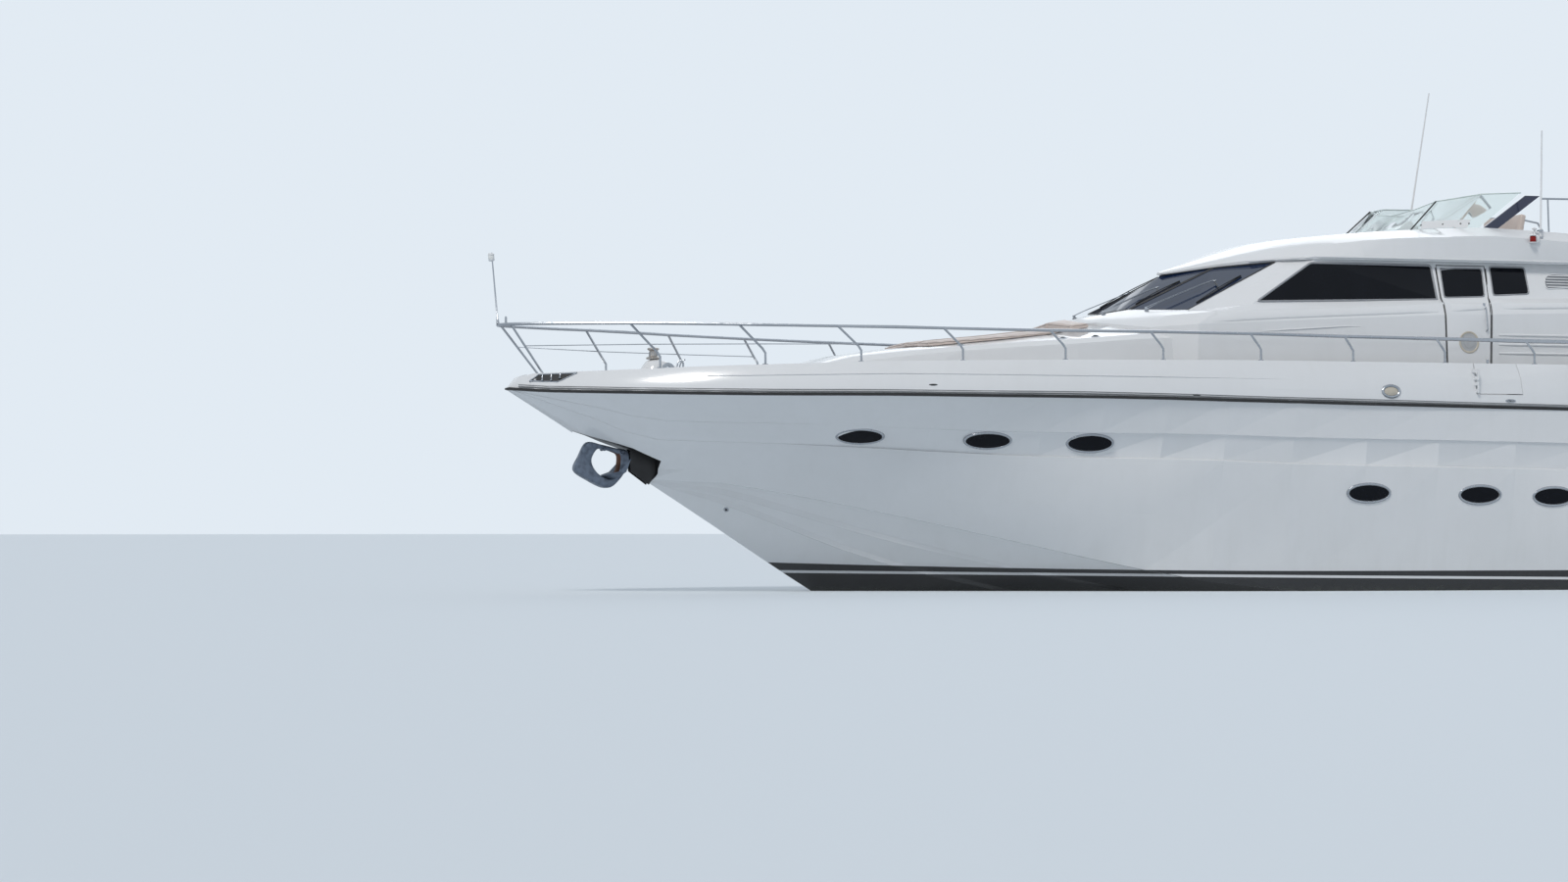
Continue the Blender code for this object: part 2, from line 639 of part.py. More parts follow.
def wall_point(post_a, post_b, across, up):
    """A point of the windshield between two posts, from sill to head."""
    a = mix(at(*HOUSE_POSTS[post_a][3]), at(*HOUSE_POSTS[post_a][4]), up)
    b = mix(at(*HOUSE_POSTS[post_b][3]), at(*HOUSE_POSTS[post_b][4]), up)
    return mix(a, b, across)


def wall_breadth(z):
    """The half breadth of the side wall near the doors."""
    post = HOUSE_POSTS[4]
    return straight([(HOUSE_DECK_Z, post[0][1])] + [(p[2], p[1]) for p in post[1:]])(z)


def shrunk(outline, distance):
    """A flat outline with each edge moved inward."""
    area = sum(a[0] * b[1] - b[0] * a[1] for a, b in zip(outline, outline[1:] + outline[:1]))
    turn = 1 if area > 0 else -1
    found = []
    for before, here, after in zip(outline[-1:] + outline[:-1], outline, outline[1:] + outline[:1]):
        a = Vector((here[0] - before[0], here[1] - before[1])).normalized()
        b = Vector((after[0] - here[0], after[1] - here[1])).normalized()
        na = Vector((-a.y, a.x)) * turn
        nb = Vector((-b.y, b.x)) * turn
        mitre = (na + nb).normalized()
        moved = Vector(here) + mitre * distance / max(mitre.dot(na), 0.3)
        found.append((moved.x, moved.y))
    return found


def screen_outline(pane, side):
    """Plan outline (s, b) of one windshield pane's opening."""
    name, first, second, across, up = pane
    corners = [wall_point(first, second, u, v)
               for u, v in ((across[0], up[0]), (across[1], up[0]),
                            (across[1], up[1]), (across[0], up[1]))]
    outline = [(LENGTH / 2 - p.x, side * p.y) for p in corners]
    if name == "centre":
        outline = outline[1:] + [(s, -b) for s, b in outline[2:0:-1]] + outline[:1]
    return outline


def door_prism(bm, sign, shrink=0.0, near=1.6, far=2.8):
    """The side door's opening through the wall, its aft jamb and sill raked."""
    outline = shrunk(list(DOOR), shrink)
    rings = []
    for depth in (near, far):
        ring = []
        for i, (s, z) in enumerate(outline):
            inboard = wall_breadth(z) - depth
            aft = DOOR_RAKE * inboard if i >= 4 else 0.0
            fall = SILL_RAKE * inboard if i in (0, len(outline) - 1) else 0.0
            ring.append(at(s + aft, sign * depth, z - fall))
        rings.append(ring)
    skin(bm, rings)


def between(obj, outer, inner):
    """Keeps what lies inside one hidden block and outside another."""
    combine(obj, outer, "INTERSECT")
    return combine(obj, inner)


def knuckles(pivot, axis, arm, count, first, thick=0.010, radius=0.016, height=0.05):
    """Every second barrel of a hinge, each one solid with its strap."""
    pivot, axis, arm = Vector(pivot), Vector(axis).normalized(), Vector(arm)
    ahead = (arm - axis * arm.dot(axis)).normalized()
    across = axis.cross(ahead)
    start = math.asin(thick / 2 / radius)
    outline = [ahead * arm.length + across * thick / 2]
    for k in range(10):
        a = start + (2 * math.pi - 2 * start) * k / 9
        outline.append((ahead * math.cos(a) + across * math.sin(a)) * radius)
    outline.append(ahead * arm.length - across * thick / 2)
    found = []
    for k in range(first, count, 2):
        low = pivot + axis * (k * (height + GAP) - count * height / 2)
        bm = bmesh.new()
        skin(bm, [[low + axis * h + p for p in outline] for h in (0, height)])
        found.append(tool("hinge knuckle", bm))
    return found


def door_line(sign, z):
    """A point of the side door's hinge line."""
    (b0, z0), (b1, z1) = DOOR_AXIS
    return at(DOOR[0][0] + SEAM / 2, sign * mix(b0, b1, (z - z0) / (z1 - z0)), z)


def make_house():
    rings = house_rings()
    inner = house_rings(WALL)
    inner[0] = [Vector((p.x, p.y, rings[0][0].z)) for p in inner[0]]
    bm = bmesh.new()
    skin(bm, rings + inner[::-1] + rings[:1], caps=False)
    house = solid("deckhouse", bm, "gelcoat")
    outer_pane = house_block("pane face", PANE_INSET)
    inner_pane = house_block("pane back", PANE_INSET + PANE_THICK)
    outer = house_block("house face", 0.0)
    inside = house_block("house back", WALL - 0.001)
    hinges = []

    def pane(name, outline, near, far, axis):
        bm = bmesh.new()
        slab(bm, outline, near, far, axis)
        combine(house, tool(name + " opening", bm))
        bm = bmesh.new()
        slab(bm, shrunk(outline, PANE_GAP), near, far, axis)
        return between(solid(name, bm, "tinted_glass"), outer_pane, inner_pane)

    pane("windshield_centre", screen_outline(SCREEN_PANES[0], 1), 3.6, 4.9, "z")
    for side, sign in SIDES:
        pane("windshield_" + side, screen_outline(SCREEN_PANES[1], sign), 3.6, 4.9, "z")
        for name, outline in SIDE_WINDOWS.items():
            pane("window_" + name + "_" + side, list(outline), sign * 1.72, sign * 2.6, "y")

        bm = bmesh.new()
        door_prism(bm, sign)
        combine(house, tool("doorway " + side, bm))
        pivot = door_line(sign, (DOOR_AXIS[0][1] + DOOR_AXIS[1][1]) / 2)
        bm = bmesh.new()
        door_prism(bm, sign, SEAM, near=1.7, far=2.7)
        leaf = solid("side_door_" + side, bm, "gelcoat", pivot)
        between(leaf, outer, inside)
        bm = bmesh.new()
        slab(bm, list(DOOR_WINDOW), sign * 1.6, sign * 2.8)
        combine(leaf, tool("door window " + side, bm))
        bm = bmesh.new()
        slab(bm, shrunk(list(DOOR_WINDOW), PANE_GAP), sign * 1.75, sign * 2.6)
        glass = solid("door_glass_" + side, bm, "tinted_glass")
        between(glass, outer_pane, inner_pane)
        axis = door_line(sign, 4.0) - door_line(sign, 3.0)
        leaf_hinges = []
        for z, reach in DOOR_HINGES:
            spot = door_line(sign, z)
            hinges += knuckles(spot, axis, (0.035, sign * reach, 0), 3, 0)
            leaf_hinges += knuckles(spot, axis, (-0.036, sign * reach, 0), 3, 1)
        joined(leaf, leaf_hinges)

    opening = AFT_DOOR
    bm = bmesh.new()
    brick(bm, (HOUSE_END - 0.3, HOUSE_END + 0.3), (-opening["b"], opening["b"]), opening["z"])
    combine(house, tool("aft doorway", bm))
    return joined(house, hinges)


def make_aft_door(house):
    """A fixed pane to starboard and a leaf that slides across it under a track."""
    d = AFT_DOOR
    rail_z = d["z"][1]
    for name, b, near in (("saloon_fixed_glass", (-d["b"] + GAP, -0.02), HOUSE_END - WALL + 0.005),
                          ("saloon_door", (-0.05, d["b"] + 0.03), HOUSE_END + d["clear"])):
        fixed = name != "saloon_door"
        z = (d["z"][0] + GAP, d["z"][1] - GAP) if fixed else (d["z"][0] - 0.015, rail_z + 0.03)
        bm = bmesh.new()
        brick(bm, (near, near + 0.035), b, z)
        solid(name, bm, "tinted_glass", at(near, sum(b) / 2, sum(z) / 2) if not fixed else (0, 0, 0))
    bm = bmesh.new()
    top = rail_z + 0.03 + GAP
    brick(bm, (HOUSE_END - 0.02, HOUSE_END + d["clear"] + 0.05),
          (-d["b"] - 0.08, d["b"] + 0.08), (top, top + 0.06))
    combine(house, tool("door track", bm), "UNION")


# Flybridge.
FLY_ROWS = (             # s; b of the brow; b, z of the shoulder, of the coaming's outer
                         # and inner top and of its foot inside; z at the centre
    (9.66, 0.05, 0.04, 4.546, 0.03, 4.548, 0.02, 4.550, 0.01, 4.552, 4.554),
    (10.20, 0.72, 0.64, 4.66, 0.52, 4.69, 0.35, 4.705, 0.20, 4.715, 4.72),
    (10.77, 1.69, 1.52, 4.76, 1.25, 4.84, 0.90, 4.875, 0.50, 4.893, 4.90),
    (11.17, 2.01, 1.86, 4.83, 1.55, 4.93, 1.10, 4.98, 0.60, 5.00, 5.01),
    (11.90, 2.07, 1.98, 4.93, 1.60, 5.04, 1.20, 5.07, 0.60, 5.085, 5.09),
    (12.90, 2.10, 2.08, 4.995, 1.60, 5.13, 1.42, 5.145, 1.20, 5.15, 5.155),
    (13.22, 2.11, 2.10, 5.00, 1.66, 5.15, 1.48, 5.15, 1.44, 5.15, 5.15),
    (13.26, 2.11, 2.10, 5.01, 1.67, 5.155, 1.49, 5.155, 1.45, 4.80, 4.80),
    (13.93, 2.12, 2.12, 5.03, 1.86, 5.17, 1.68, 5.17, 1.64, 4.80, 4.80),
    (15.20, 2.13, 2.14, 4.97, 1.97, 5.11, 1.79, 5.11, 1.75, 4.80, 4.80),
    (18.00, 2.13, 2.14, 4.95, 1.98, 5.09, 1.80, 5.09, 1.76, 4.80, 4.80),
    (20.50, 2.10, 2.10, 4.92, 1.95, 5.05, 1.77, 5.05, 1.73, 4.80, 4.80),
    (21.30, 2.00, 1.98, 4.86, 1.85, 4.93, 1.70, 4.93, 1.66, 4.80, 4.80))
FLY_FLOOR = FLY_ROWS[-1][-1]
FLY_STATIONS = (9.66, 9.72, 10.0, 10.24, 10.5, 10.79, 11.0, 11.17, 11.5, 11.9, 12.4, 12.9,
                13.22, 13.26, 13.6, 13.93, 14.5, 15.2, 16.6, 18.0, 19.3, 20.5, 21.0, 21.3)
BROW_HEIGHT = 0.045
FLY_SCREEN = (           # foot s, b and head s, b, z
    ((13.02, 0.00), (13.42, 0.00, 5.46)), ((13.06, 0.62), (13.48, 0.58, 5.51)),
    ((13.12, 1.12), (13.60, 1.02, 5.60)), ((13.50, 1.62), (14.06, 1.53, 5.68)),
    ((13.84, 1.765), (14.60, 1.69, 5.70)))
SCREEN_THICK = 0.012
STRUT = {"foot": (13.90, 14.14), "head": (14.66, 14.90), "foot_b": 1.80, "head_b": 1.70,
         "head_z": 5.66, "thick": 0.035}
ARCH_PATH = (            # s, b, z, chord
    (17.60, 1.89, 5.06, 0.80), (17.72, 1.89, 5.30, 0.74), (18.00, 1.82, 5.90, 0.60),
    (18.26, 1.66, 6.38, 0.50), (18.38, 1.40, 6.58, 0.46), (18.42, 0.80, 6.66, 0.44),
    (18.44, 0.0, 6.68, 0.44))
ARCH_THICK = 0.11
RADAR = {"length": 1.35, "width": 0.14, "height": 0.10, "pedestal": 0.16, "rise": 0.22}
CONSOLE = {"b": (-1.25, 0.05), "outline": ((13.46, 4.80), (14.02, 4.80), (14.05, 4.92),
                                           (13.86, 5.30), (13.68, 5.34), (13.46, 5.24))}
HELM = {"b": -0.60, "s": 13.955, "z": 5.11, "radius": 0.19, "grip": 0.014, "stand": 0.10}
HELM_SEAT = {"b": (-1.20, 0.0), "outline": ((14.95, 4.80), (15.60, 4.80), (15.68, 5.55),
                                            (15.56, 5.57), (15.48, 5.26), (14.95, 5.24))}
FLY_SUNPAD = {"s": (19.0, 20.7), "b": 1.35, "z": 0.30}
WHIPS = (                # s, b, z of foot and tip
    ("antenna_tall", (14.62, -1.88, 5.10), (15.02, -1.86, 7.51)),
    ("antenna_short", (14.70, 2.08, 4.96), (14.74, 2.06, 6.57)))
FLY = fair(FLY_ROWS)
HOUSE_HEAD_Z = straight([(post[4][0], post[4][2]) for post in HOUSE_POSTS[:4]])


def fly_section(s):
    """One ring of the flybridge moulding."""
    under = HOUSE_HEAD_Z(s) + GAP
    brow_b, edge_b, edge_z, out_b, out_z, in_b, in_z, foot_b, foot_z, centre_z = FLY(s)
    brow = min(BROW_HEIGHT, (edge_z - under) * 0.5)
    half = [at(s, 0, under), at(s, brow_b, under), at(s, brow_b + 0.008, under + brow),
            at(s, edge_b, edge_z), at(s, out_b, out_z), at(s, in_b, in_z),
            at(s, foot_b, foot_z), at(s, 0, centre_z)]
    return both_sides(half)


def lifted(name, rings):
    """A hidden copy of a carrying piece, raised by the gap, to trim feet with."""
    bm = bmesh.new()
    skin(bm, [[p + Vector((0, 0, GAP)) for p in ring] for ring in rings])
    return tool(name, bm)


def make_flybridge():
    rings = [fly_section(s) for s in FLY_STATIONS]
    bm = bmesh.new()
    skin(bm, rings)
    solid("flybridge", bm, "gelcoat")
    seat = lifted("flybridge seat", rings)

    posts = []
    for (s0, b0), (s1, b1, z1) in FLY_SCREEN:
        foot = at(s0, b0, FLY(s0)[4] - 0.03)
        posts.append((foot, at(s1, b1, z1)))
    posts = [(f * 1, h * 1) for f, h in posts[::-1]] + [
        (Vector((f.x, -f.y, f.z)), Vector((h.x, -h.y, h.z))) for f, h in posts[1:]]
    rings = []
    for i, (foot, head) in enumerate(posts):
        after = posts[min(i + 1, len(posts) - 1)][0]
        before = posts[max(i - 1, 0)][0]
        along = (after - before).normalized()
        inward = Vector((along.y, -along.x, 0)) * SCREEN_THICK
        if inward.x > 0:
            inward = -inward
        rings.append([foot, head, head + inward, foot + inward])
    bm = bmesh.new()
    skin(bm, rings)
    combine(solid("fly_screen", bm, "clear_screen"), seat)

    for side, sign in SIDES:
        d = STRUT
        bm = bmesh.new()
        foot_z = FLY(d["foot"][0])[6] - 0.02
        rings = []
        for (s0, s1), b, z in ((d["foot"], d["foot_b"], foot_z),
                               (d["head"], d["head_b"], d["head_z"])):
            half = d["thick"] / 2
            rings.append([at(s0, sign * (b - half), z), at(s1, sign * (b - half), z),
                          at(s1, sign * (b + half), z), at(s0, sign * (b + half), z)])
        skin(bm, rings)
        combine(solid("fly_strut_" + side, bm, "navy"), seat)

    make_arch(seat)
    for name, foot, tip in WHIPS:
        bm = bmesh.new()
        foot, tip = at(*foot), at(*tip)
        tube(bm, [foot, mix(foot, tip, 0.10), mix(foot, tip, 0.105), tip], 0.028, 8, 0.011)
        combine(solid(name, bm, "gelcoat"), seat)

    d = CONSOLE
    bm = bmesh.new()
    outline = [(s, z + GAP) if z == FLY_FLOOR else (s, z) for s, z in d["outline"]]
    slab(bm, outline, *d["b"])
    solid("fly_console", bm, "gelcoat")
    make_helm()
    d = HELM_SEAT
    bm = bmesh.new()
    outline = [(s, z + GAP) if z == FLY_FLOOR else (s, z) for s, z in d["outline"]]
    slab(bm, outline, *d["b"])
    solid("helm_seat", bm, "cushion")
    d = FLY_SUNPAD
    bm = bmesh.new()
    brick(bm, d["s"], (-d["b"], d["b"]), (FLY_FLOOR + GAP, FLY_FLOOR + d["z"]))
    solid("fly_sunpad", bm, "cushion")
    make_fly_rails(seat)


def make_arch(seat):
    """The radar arch, one aerofoil swept from coaming to coaming."""
    path = list(ARCH_PATH) + [(s, -b, z, c) for s, b, z, c in ARCH_PATH[-2::-1]]
    foil = ((-0.5, 0.0), (-0.38, 0.42), (-0.1, 0.5), (0.3, 0.4), (0.5, 0.0),
            (0.3, -0.4), (-0.1, -0.5), (-0.38, -0.42))
    rings = []
    for i, (s, b, z, chord) in enumerate(path):
        before = path[max(i - 1, 0)]
        after = path[min(i + 1, len(path) - 1)]
        rise = Vector((0, after[1] - before[1], after[2] - before[2])).normalized()
        if i in (0, len(path) - 1):
            rise = Vector((0, 0, rise.z)).normalized()
        across = Vector((0, rise.z, -rise.y))
        rings.append([at(s, b, z) + Vector((-along * chord, 0, 0)) + across * out * ARCH_THICK
                      for along, out in foil])
    bm = bmesh.new()
    skin(bm, rings)
    arch = solid("radar_arch", bm, "gelcoat")
    combine(arch, seat)
    s, z = ARCH_PATH[-1][0], ARCH_PATH[-1][2]
    r = RADAR
    top = z + r["rise"]
    bm = bmesh.new()
    turned(bm, [(0, r["pedestal"]), (r["rise"] * 0.75, r["pedestal"] * 0.9),
                (r["rise"], r["pedestal"] * 0.5)], at(s, 0, z), (0, 0, 1), 14)
    combine(arch, tool("radar pedestal", bm), "UNION")
    pivot = at(s, 0, top + GAP)
    bm = bmesh.new()
    h, w = r["height"], r["width"] / 2
    rings = []
    for b, share in ((-0.5, 0.6), (-0.46, 1.0), (0.46, 1.0), (0.5, 0.6)):
        ring = ((-w, 0.2 * h), (-w * 0.7, 0), (w * 0.7, 0), (w, 0.2 * h), (w * 0.8, h), (-w * 0.8, h))
        rings.append([pivot + Vector((x * share, b * r["length"], 0.5 * h + (up - 0.5 * h) * share))
                      for x, up in ring])
    skin(bm, rings)
    solid("radar_scanner", bm, "gelcoat", pivot)


def hoop(bm, centre, axis, radius, thickness, count=20, sides=6):
    """A round ring of round bar."""
    axis = Vector(axis).normalized()
    side = axis.orthogonal().normalized()
    other = axis.cross(side)
    rings = []
    for k in range(count):
        a = 2 * math.pi * k / count
        out = side * math.cos(a) + other * math.sin(a)
        rings.append([Vector(centre) + out * (radius + thickness * math.cos(t))
                      + axis * thickness * math.sin(t)
                      for t in (2 * math.pi * j / sides for j in range(sides))])
    skin(bm, rings + rings[:1], caps=False)


def console_normal():
    """The direction that the console's sloping face looks in."""
    (s0, z0), (s1, z1) = CONSOLE["outline"][2:4]
    return Vector((-(z1 - z0), 0, -(s1 - s0))).normalized()


def make_helm():
    h = HELM
    out = console_normal()
    (s0, z0), (s1, z1) = CONSOLE["outline"][2:4]
    foot = at((s0 + s1) / 2, h["b"], (z0 + z1) / 2) + out * GAP
    centre = foot + out * h["stand"]
    bm = bmesh.new()
    turned(bm, [(0, 0.045), (h["stand"] - 0.03, 0.035), (h["stand"] + 0.015, 0.05)],
           foot, out, 12)
    wheel = solid("fly_wheel", bm, "black_rubber", foot)
    bm = bmesh.new()
    hoop(bm, centre, out, h["radius"], h["grip"])
    parts = [tool("wheel rim", bm)]
    side = out.cross(Vector((0, 1, 0))).normalized()
    for k in range(3):
        a = 2 * math.pi * k / 3 + math.pi / 2
        reach = Vector((0, 1, 0)) * math.cos(a) + side * math.sin(a)
        bm = bmesh.new()
        tube(bm, [centre, centre + reach * h["radius"]], 0.011)
        parts.append(tool("wheel spoke", bm))
    welded(wheel, parts)


def make_fly_rails(seat):
    """Side handrails ahead of the arch and one rail round the after end."""
    z = 5.62
    radius = 0.016
    for side, sign in SIDES:
        start = STRUT["head"][1] + 0.02
        path = [at(start, sign * 1.74, z), at(15.6, sign * 1.83, z), at(16.6, sign * 1.88, z),
                at(16.9, sign * 1.885, z - 0.05), at(17.0, sign * 1.885, z - 0.2),
                at(17.0, sign * 1.885, FLY(17.0)[6] - 0.02)]
        bm = bmesh.new()
        tube(bm, path, radius)
        rail = solid("fly_handrail_" + side, bm, "stainless")
        parts = []
        for s, b in ((15.0, 1.765), (16.0, 1.86)):
            bm = bmesh.new()
            tube(bm, [at(s, sign * (b + 0.03), FLY(s)[6] - 0.02), at(s, sign * b, z)], 0.012)
            parts.append(tool("handrail post", bm))
        welded(rail, parts)
        combine(rail, seat)
    corner = 20.95
    path = [at(18.35, 1.885, FLY(18.35)[6] - 0.02), at(18.35, 1.885, z - 0.2),
            at(18.43, 1.885, z - 0.05), at(18.6, 1.885, z), at(20.3, 1.85, z),
            at(corner, 1.70, z), at(21.15, 1.40, z), at(21.2, 0.9, z)]
    path += [Vector((p.x, -p.y, p.z)) for p in reversed(path)]
    bm = bmesh.new()
    tube(bm, path, radius)
    rail = solid("fly_aft_rail", bm, "stainless")
    parts = []
    for s, b in ((19.4, 1.87), (20.3, 1.85), (corner, 1.72), (21.15, 1.40), (21.2, 0.5)):
        for sign in (1, -1):
            foot_z = FLY(s)[6] if b > 1.6 else FLY_FLOOR
            foot_b = b + 0.02 if b > 1.6 else b
            bm = bmesh.new()
            tube(bm, [at(s, sign * foot_b, foot_z - 0.02), at(s, sign * b, z)], 0.012)
            parts.append(tool("aft rail post", bm))
    for low in (5.20, 5.41):
        bm = bmesh.new()
        inner = [p for p in path[3:-3]]
        tube(bm, [Vector((p.x, p.y, low)) for p in inner], 0.007, sides=5)
        parts.append(tool("aft rail bar", bm))
    welded(rail, parts)
    combine(rail, seat)


# Foredeck and bulwark.
RAIL_ROWS = (            # s, b, z of the bow rail's top tube
    (-0.15, 0.0, 3.64), (-0.11, 0.16, 3.64), (0.05, 0.34, 3.64), (0.55, 0.66, 3.64),
    (1.41, 1.06, 3.64), (2.73, 1.58, 3.62), (4.05, 2.00, 3.60), (5.45, 2.32, 3.58),
    (6.90, 2.54, 3.56), (8.38, 2.68, 3.56), (9.84, 2.76, 3.55), (11.25, 2.79, 3.53),
    (12.68, 2.80, 3.52), (14.10, 2.80, 3.50), (17.0, 2.80, 3.50), (19.4, 2.78, 3.49))
RAIL_RADIUS = 0.022
PULPIT_LEG = {"foot": (0.46, 0.12), "head_s": -0.04}
STANCHIONS = (1.76, 3.07, 4.31, 5.67, 7.09, 8.49, 9.93, 11.33, 12.75, 14.16, 15.6, 17.05, 18.5)
STANCHION = {"radius": 0.017, "upright": 0.15, "flange": 0.040}
RAKE_ROWS = ((1.76, 0.36), (3.07, 0.30), (4.31, 0.27), (7.09, 0.18), (11.33, 0.11), (18.5, 0.10))
GUARD_WIRE = {"z": 3.35, "end": 4.31, "radius": 0.006}
RAIL_END = 19.9
JACKSTAFF = {"foot": (-0.15, 3.64), "head": (-0.24, 4.62), "radius": 0.015}
WINDLASS = {"s": (1.84, 2.62), "b": 0.27, "top": 3.20, "drum_s": 2.06, "drum_r": 0.10,
            "drum_h": 0.16}
LOCKER = {"s": (3.15, 3.75), "b": 0.32, "depth": 0.20, "lid": 0.03, "ledge": 0.04,
          "relief": 0.02}    # the deck's edge slopes back behind the lid's hinge
SUNPAD = {"s": (5.75, 7.85), "b": 0.92, "thick": 0.10}
BACKREST = {"s": (7.90, 8.22), "b": 0.88, "rise": 0.16}
ANCHOR_LOOP = (          # s, z outside; s, z of the eye; half the depth across
    (1.72, 1.90, 1.46, 1.85, 0.05), (1.50, 1.965, 1.38, 1.865, 0.05),
    (1.30, 2.03, 1.30, 1.87, 0.05), (1.11, 2.045, 1.24, 1.865, 0.06),
    (0.95, 1.86, 1.21, 1.79, 0.08), (0.92, 1.68, 1.20, 1.70, 0.10),
    (1.14, 1.50, 1.29, 1.645, 0.11), (1.40, 1.42, 1.41, 1.59, 0.12),
    (1.62, 1.58, 1.44, 1.66, 0.10), (1.71, 1.74, 1.455, 1.75, 0.07))
ANCHOR_FLUKE = (         # b; s, z of three corners
    (0.0, (1.16, 1.53), (1.40, 1.44), (1.60, 1.62)),
    (0.26, (1.50, 1.64), (1.60, 1.64), (1.68, 1.84)))
ANCHOR_SHANK = {"path": ((1.60, 1.86), (1.80, 1.78), (1.95, 1.76)), "radius": 0.035}
GATE = ((13.16, 2.74), (13.16, 3.30), (13.87, 3.30), (13.87, 2.74))
GATE_AXIS_B = 3.045
GATE_AXIS_Z = 2.90       # where the leaf's own origin lies
GATE_HINGES = (2.84, 3.02)
GATE_RAKE = 0.5
GATE_RAKE_B = 2.95       # the aft edge keeps its place here


def gate_prism(bm, sign, shrink=0.0, near=2.5, far=3.3):
    """The opening through the bulwark, its aft end raked."""
    outline = shrunk(list(GATE), shrink)
    rings = []
    for depth in (near, far):
        rings.append([at(s + (GATE_RAKE * (depth - GATE_RAKE_B) if i >= 2 else 0.0), sign * depth, z)
                      for i, (s, z) in enumerate(outline)])
    skin(bm, rings)


def make_gate(bulwark, side, sign):
    """Cuts the gateway and makes its gate; the bulwark's hinge barrels."""
    hinges = []
    bm = bmesh.new()
    gate_prism(bm, sign)
    combine(bulwark, tool("gateway " + side, bm))
    pivot = at(GATE[0][0] + SEAM / 2, sign * GATE_AXIS_B, GATE_AXIS_Z)
    bm = bmesh.new()
    gate_prism(bm, sign, SEAM, 2.6, 3.2)
    leaf = solid("bulwark_gate_" + side, bm, "gelcoat", pivot)
    bm = bmesh.new()
    skin(bm, [bulwark_section(s, sign) for s in STATIONS if 11 < s < 16])
    combine(leaf, tool("gate body " + side, bm), "INTERSECT")
    leaf_hinges = []
    reach = -sign * (GATE_AXIS_B - chord(BULWARK, 13.2)[0] - 0.035)
    for z in GATE_HINGES:
        spot = Vector((pivot.x, pivot.y, z))
        hinges += knuckles(spot, (0, 0, 1), (0.05, reach, 0), 3, 0)
        leaf_hinges += knuckles(spot, (0, 0, 1), (-0.07, reach, 0), 3, 1)
    joined(leaf, leaf_hinges)
    return hinges


def make_locker(deck):
    d = LOCKER
    z = DECK(0)
    s0, s1 = d["s"]
    bm = bmesh.new()
    brick(bm, (s0, s1), (-d["b"], d["b"]), (z - d["lid"] - 0.002, z + 0.2))
    combine(deck, tool("locker rebate", bm))
    bm = bmesh.new()
    brick(bm, (s0 + d["ledge"], s1 - d["ledge"]), (-d["b"] + d["ledge"], d["b"] - d["ledge"]),
          (z - d["depth"], z + 0.1))
    combine(deck, tool("locker", bm))
    half = d["lid"] / 2
    bm = bmesh.new()
    slab(bm, [(s1 - half, z - half), (s1, z - half), (s1 + d["relief"], z + half), (s1 - half, z + half)],
         -d["b"], d["b"])
    combine(deck, tool("locker lid relief", bm))
    pivot = at(s1 - half - GAP, 0, z - half)
    bm = bmesh.new()
    outline = [(s0 + SEAM, z), (s0 + SEAM, z - d["lid"])]
    for k in range(7):
        a = -math.pi / 2 + math.pi * k / 6
        outline.append((s1 - half - GAP + half * math.cos(a), z - half + half * math.sin(a)))
    slab(bm, outline, -d["b"] + SEAM, d["b"] - SEAM)
    solid("locker_lid", bm, "gelcoat", pivot)


def cap_seat(s, reach):
    """Middle of the bulwark's cap, and a height that clears it all round."""
    b = chord(BULWARK, s)[0] - BULWARK_CAP / 2
    marks = [s - reach, s + reach] + [m for m in STATIONS if abs(m - s) < reach]
    return b, max(chord(BULWARK, mark)[1] for mark in marks) + GAP


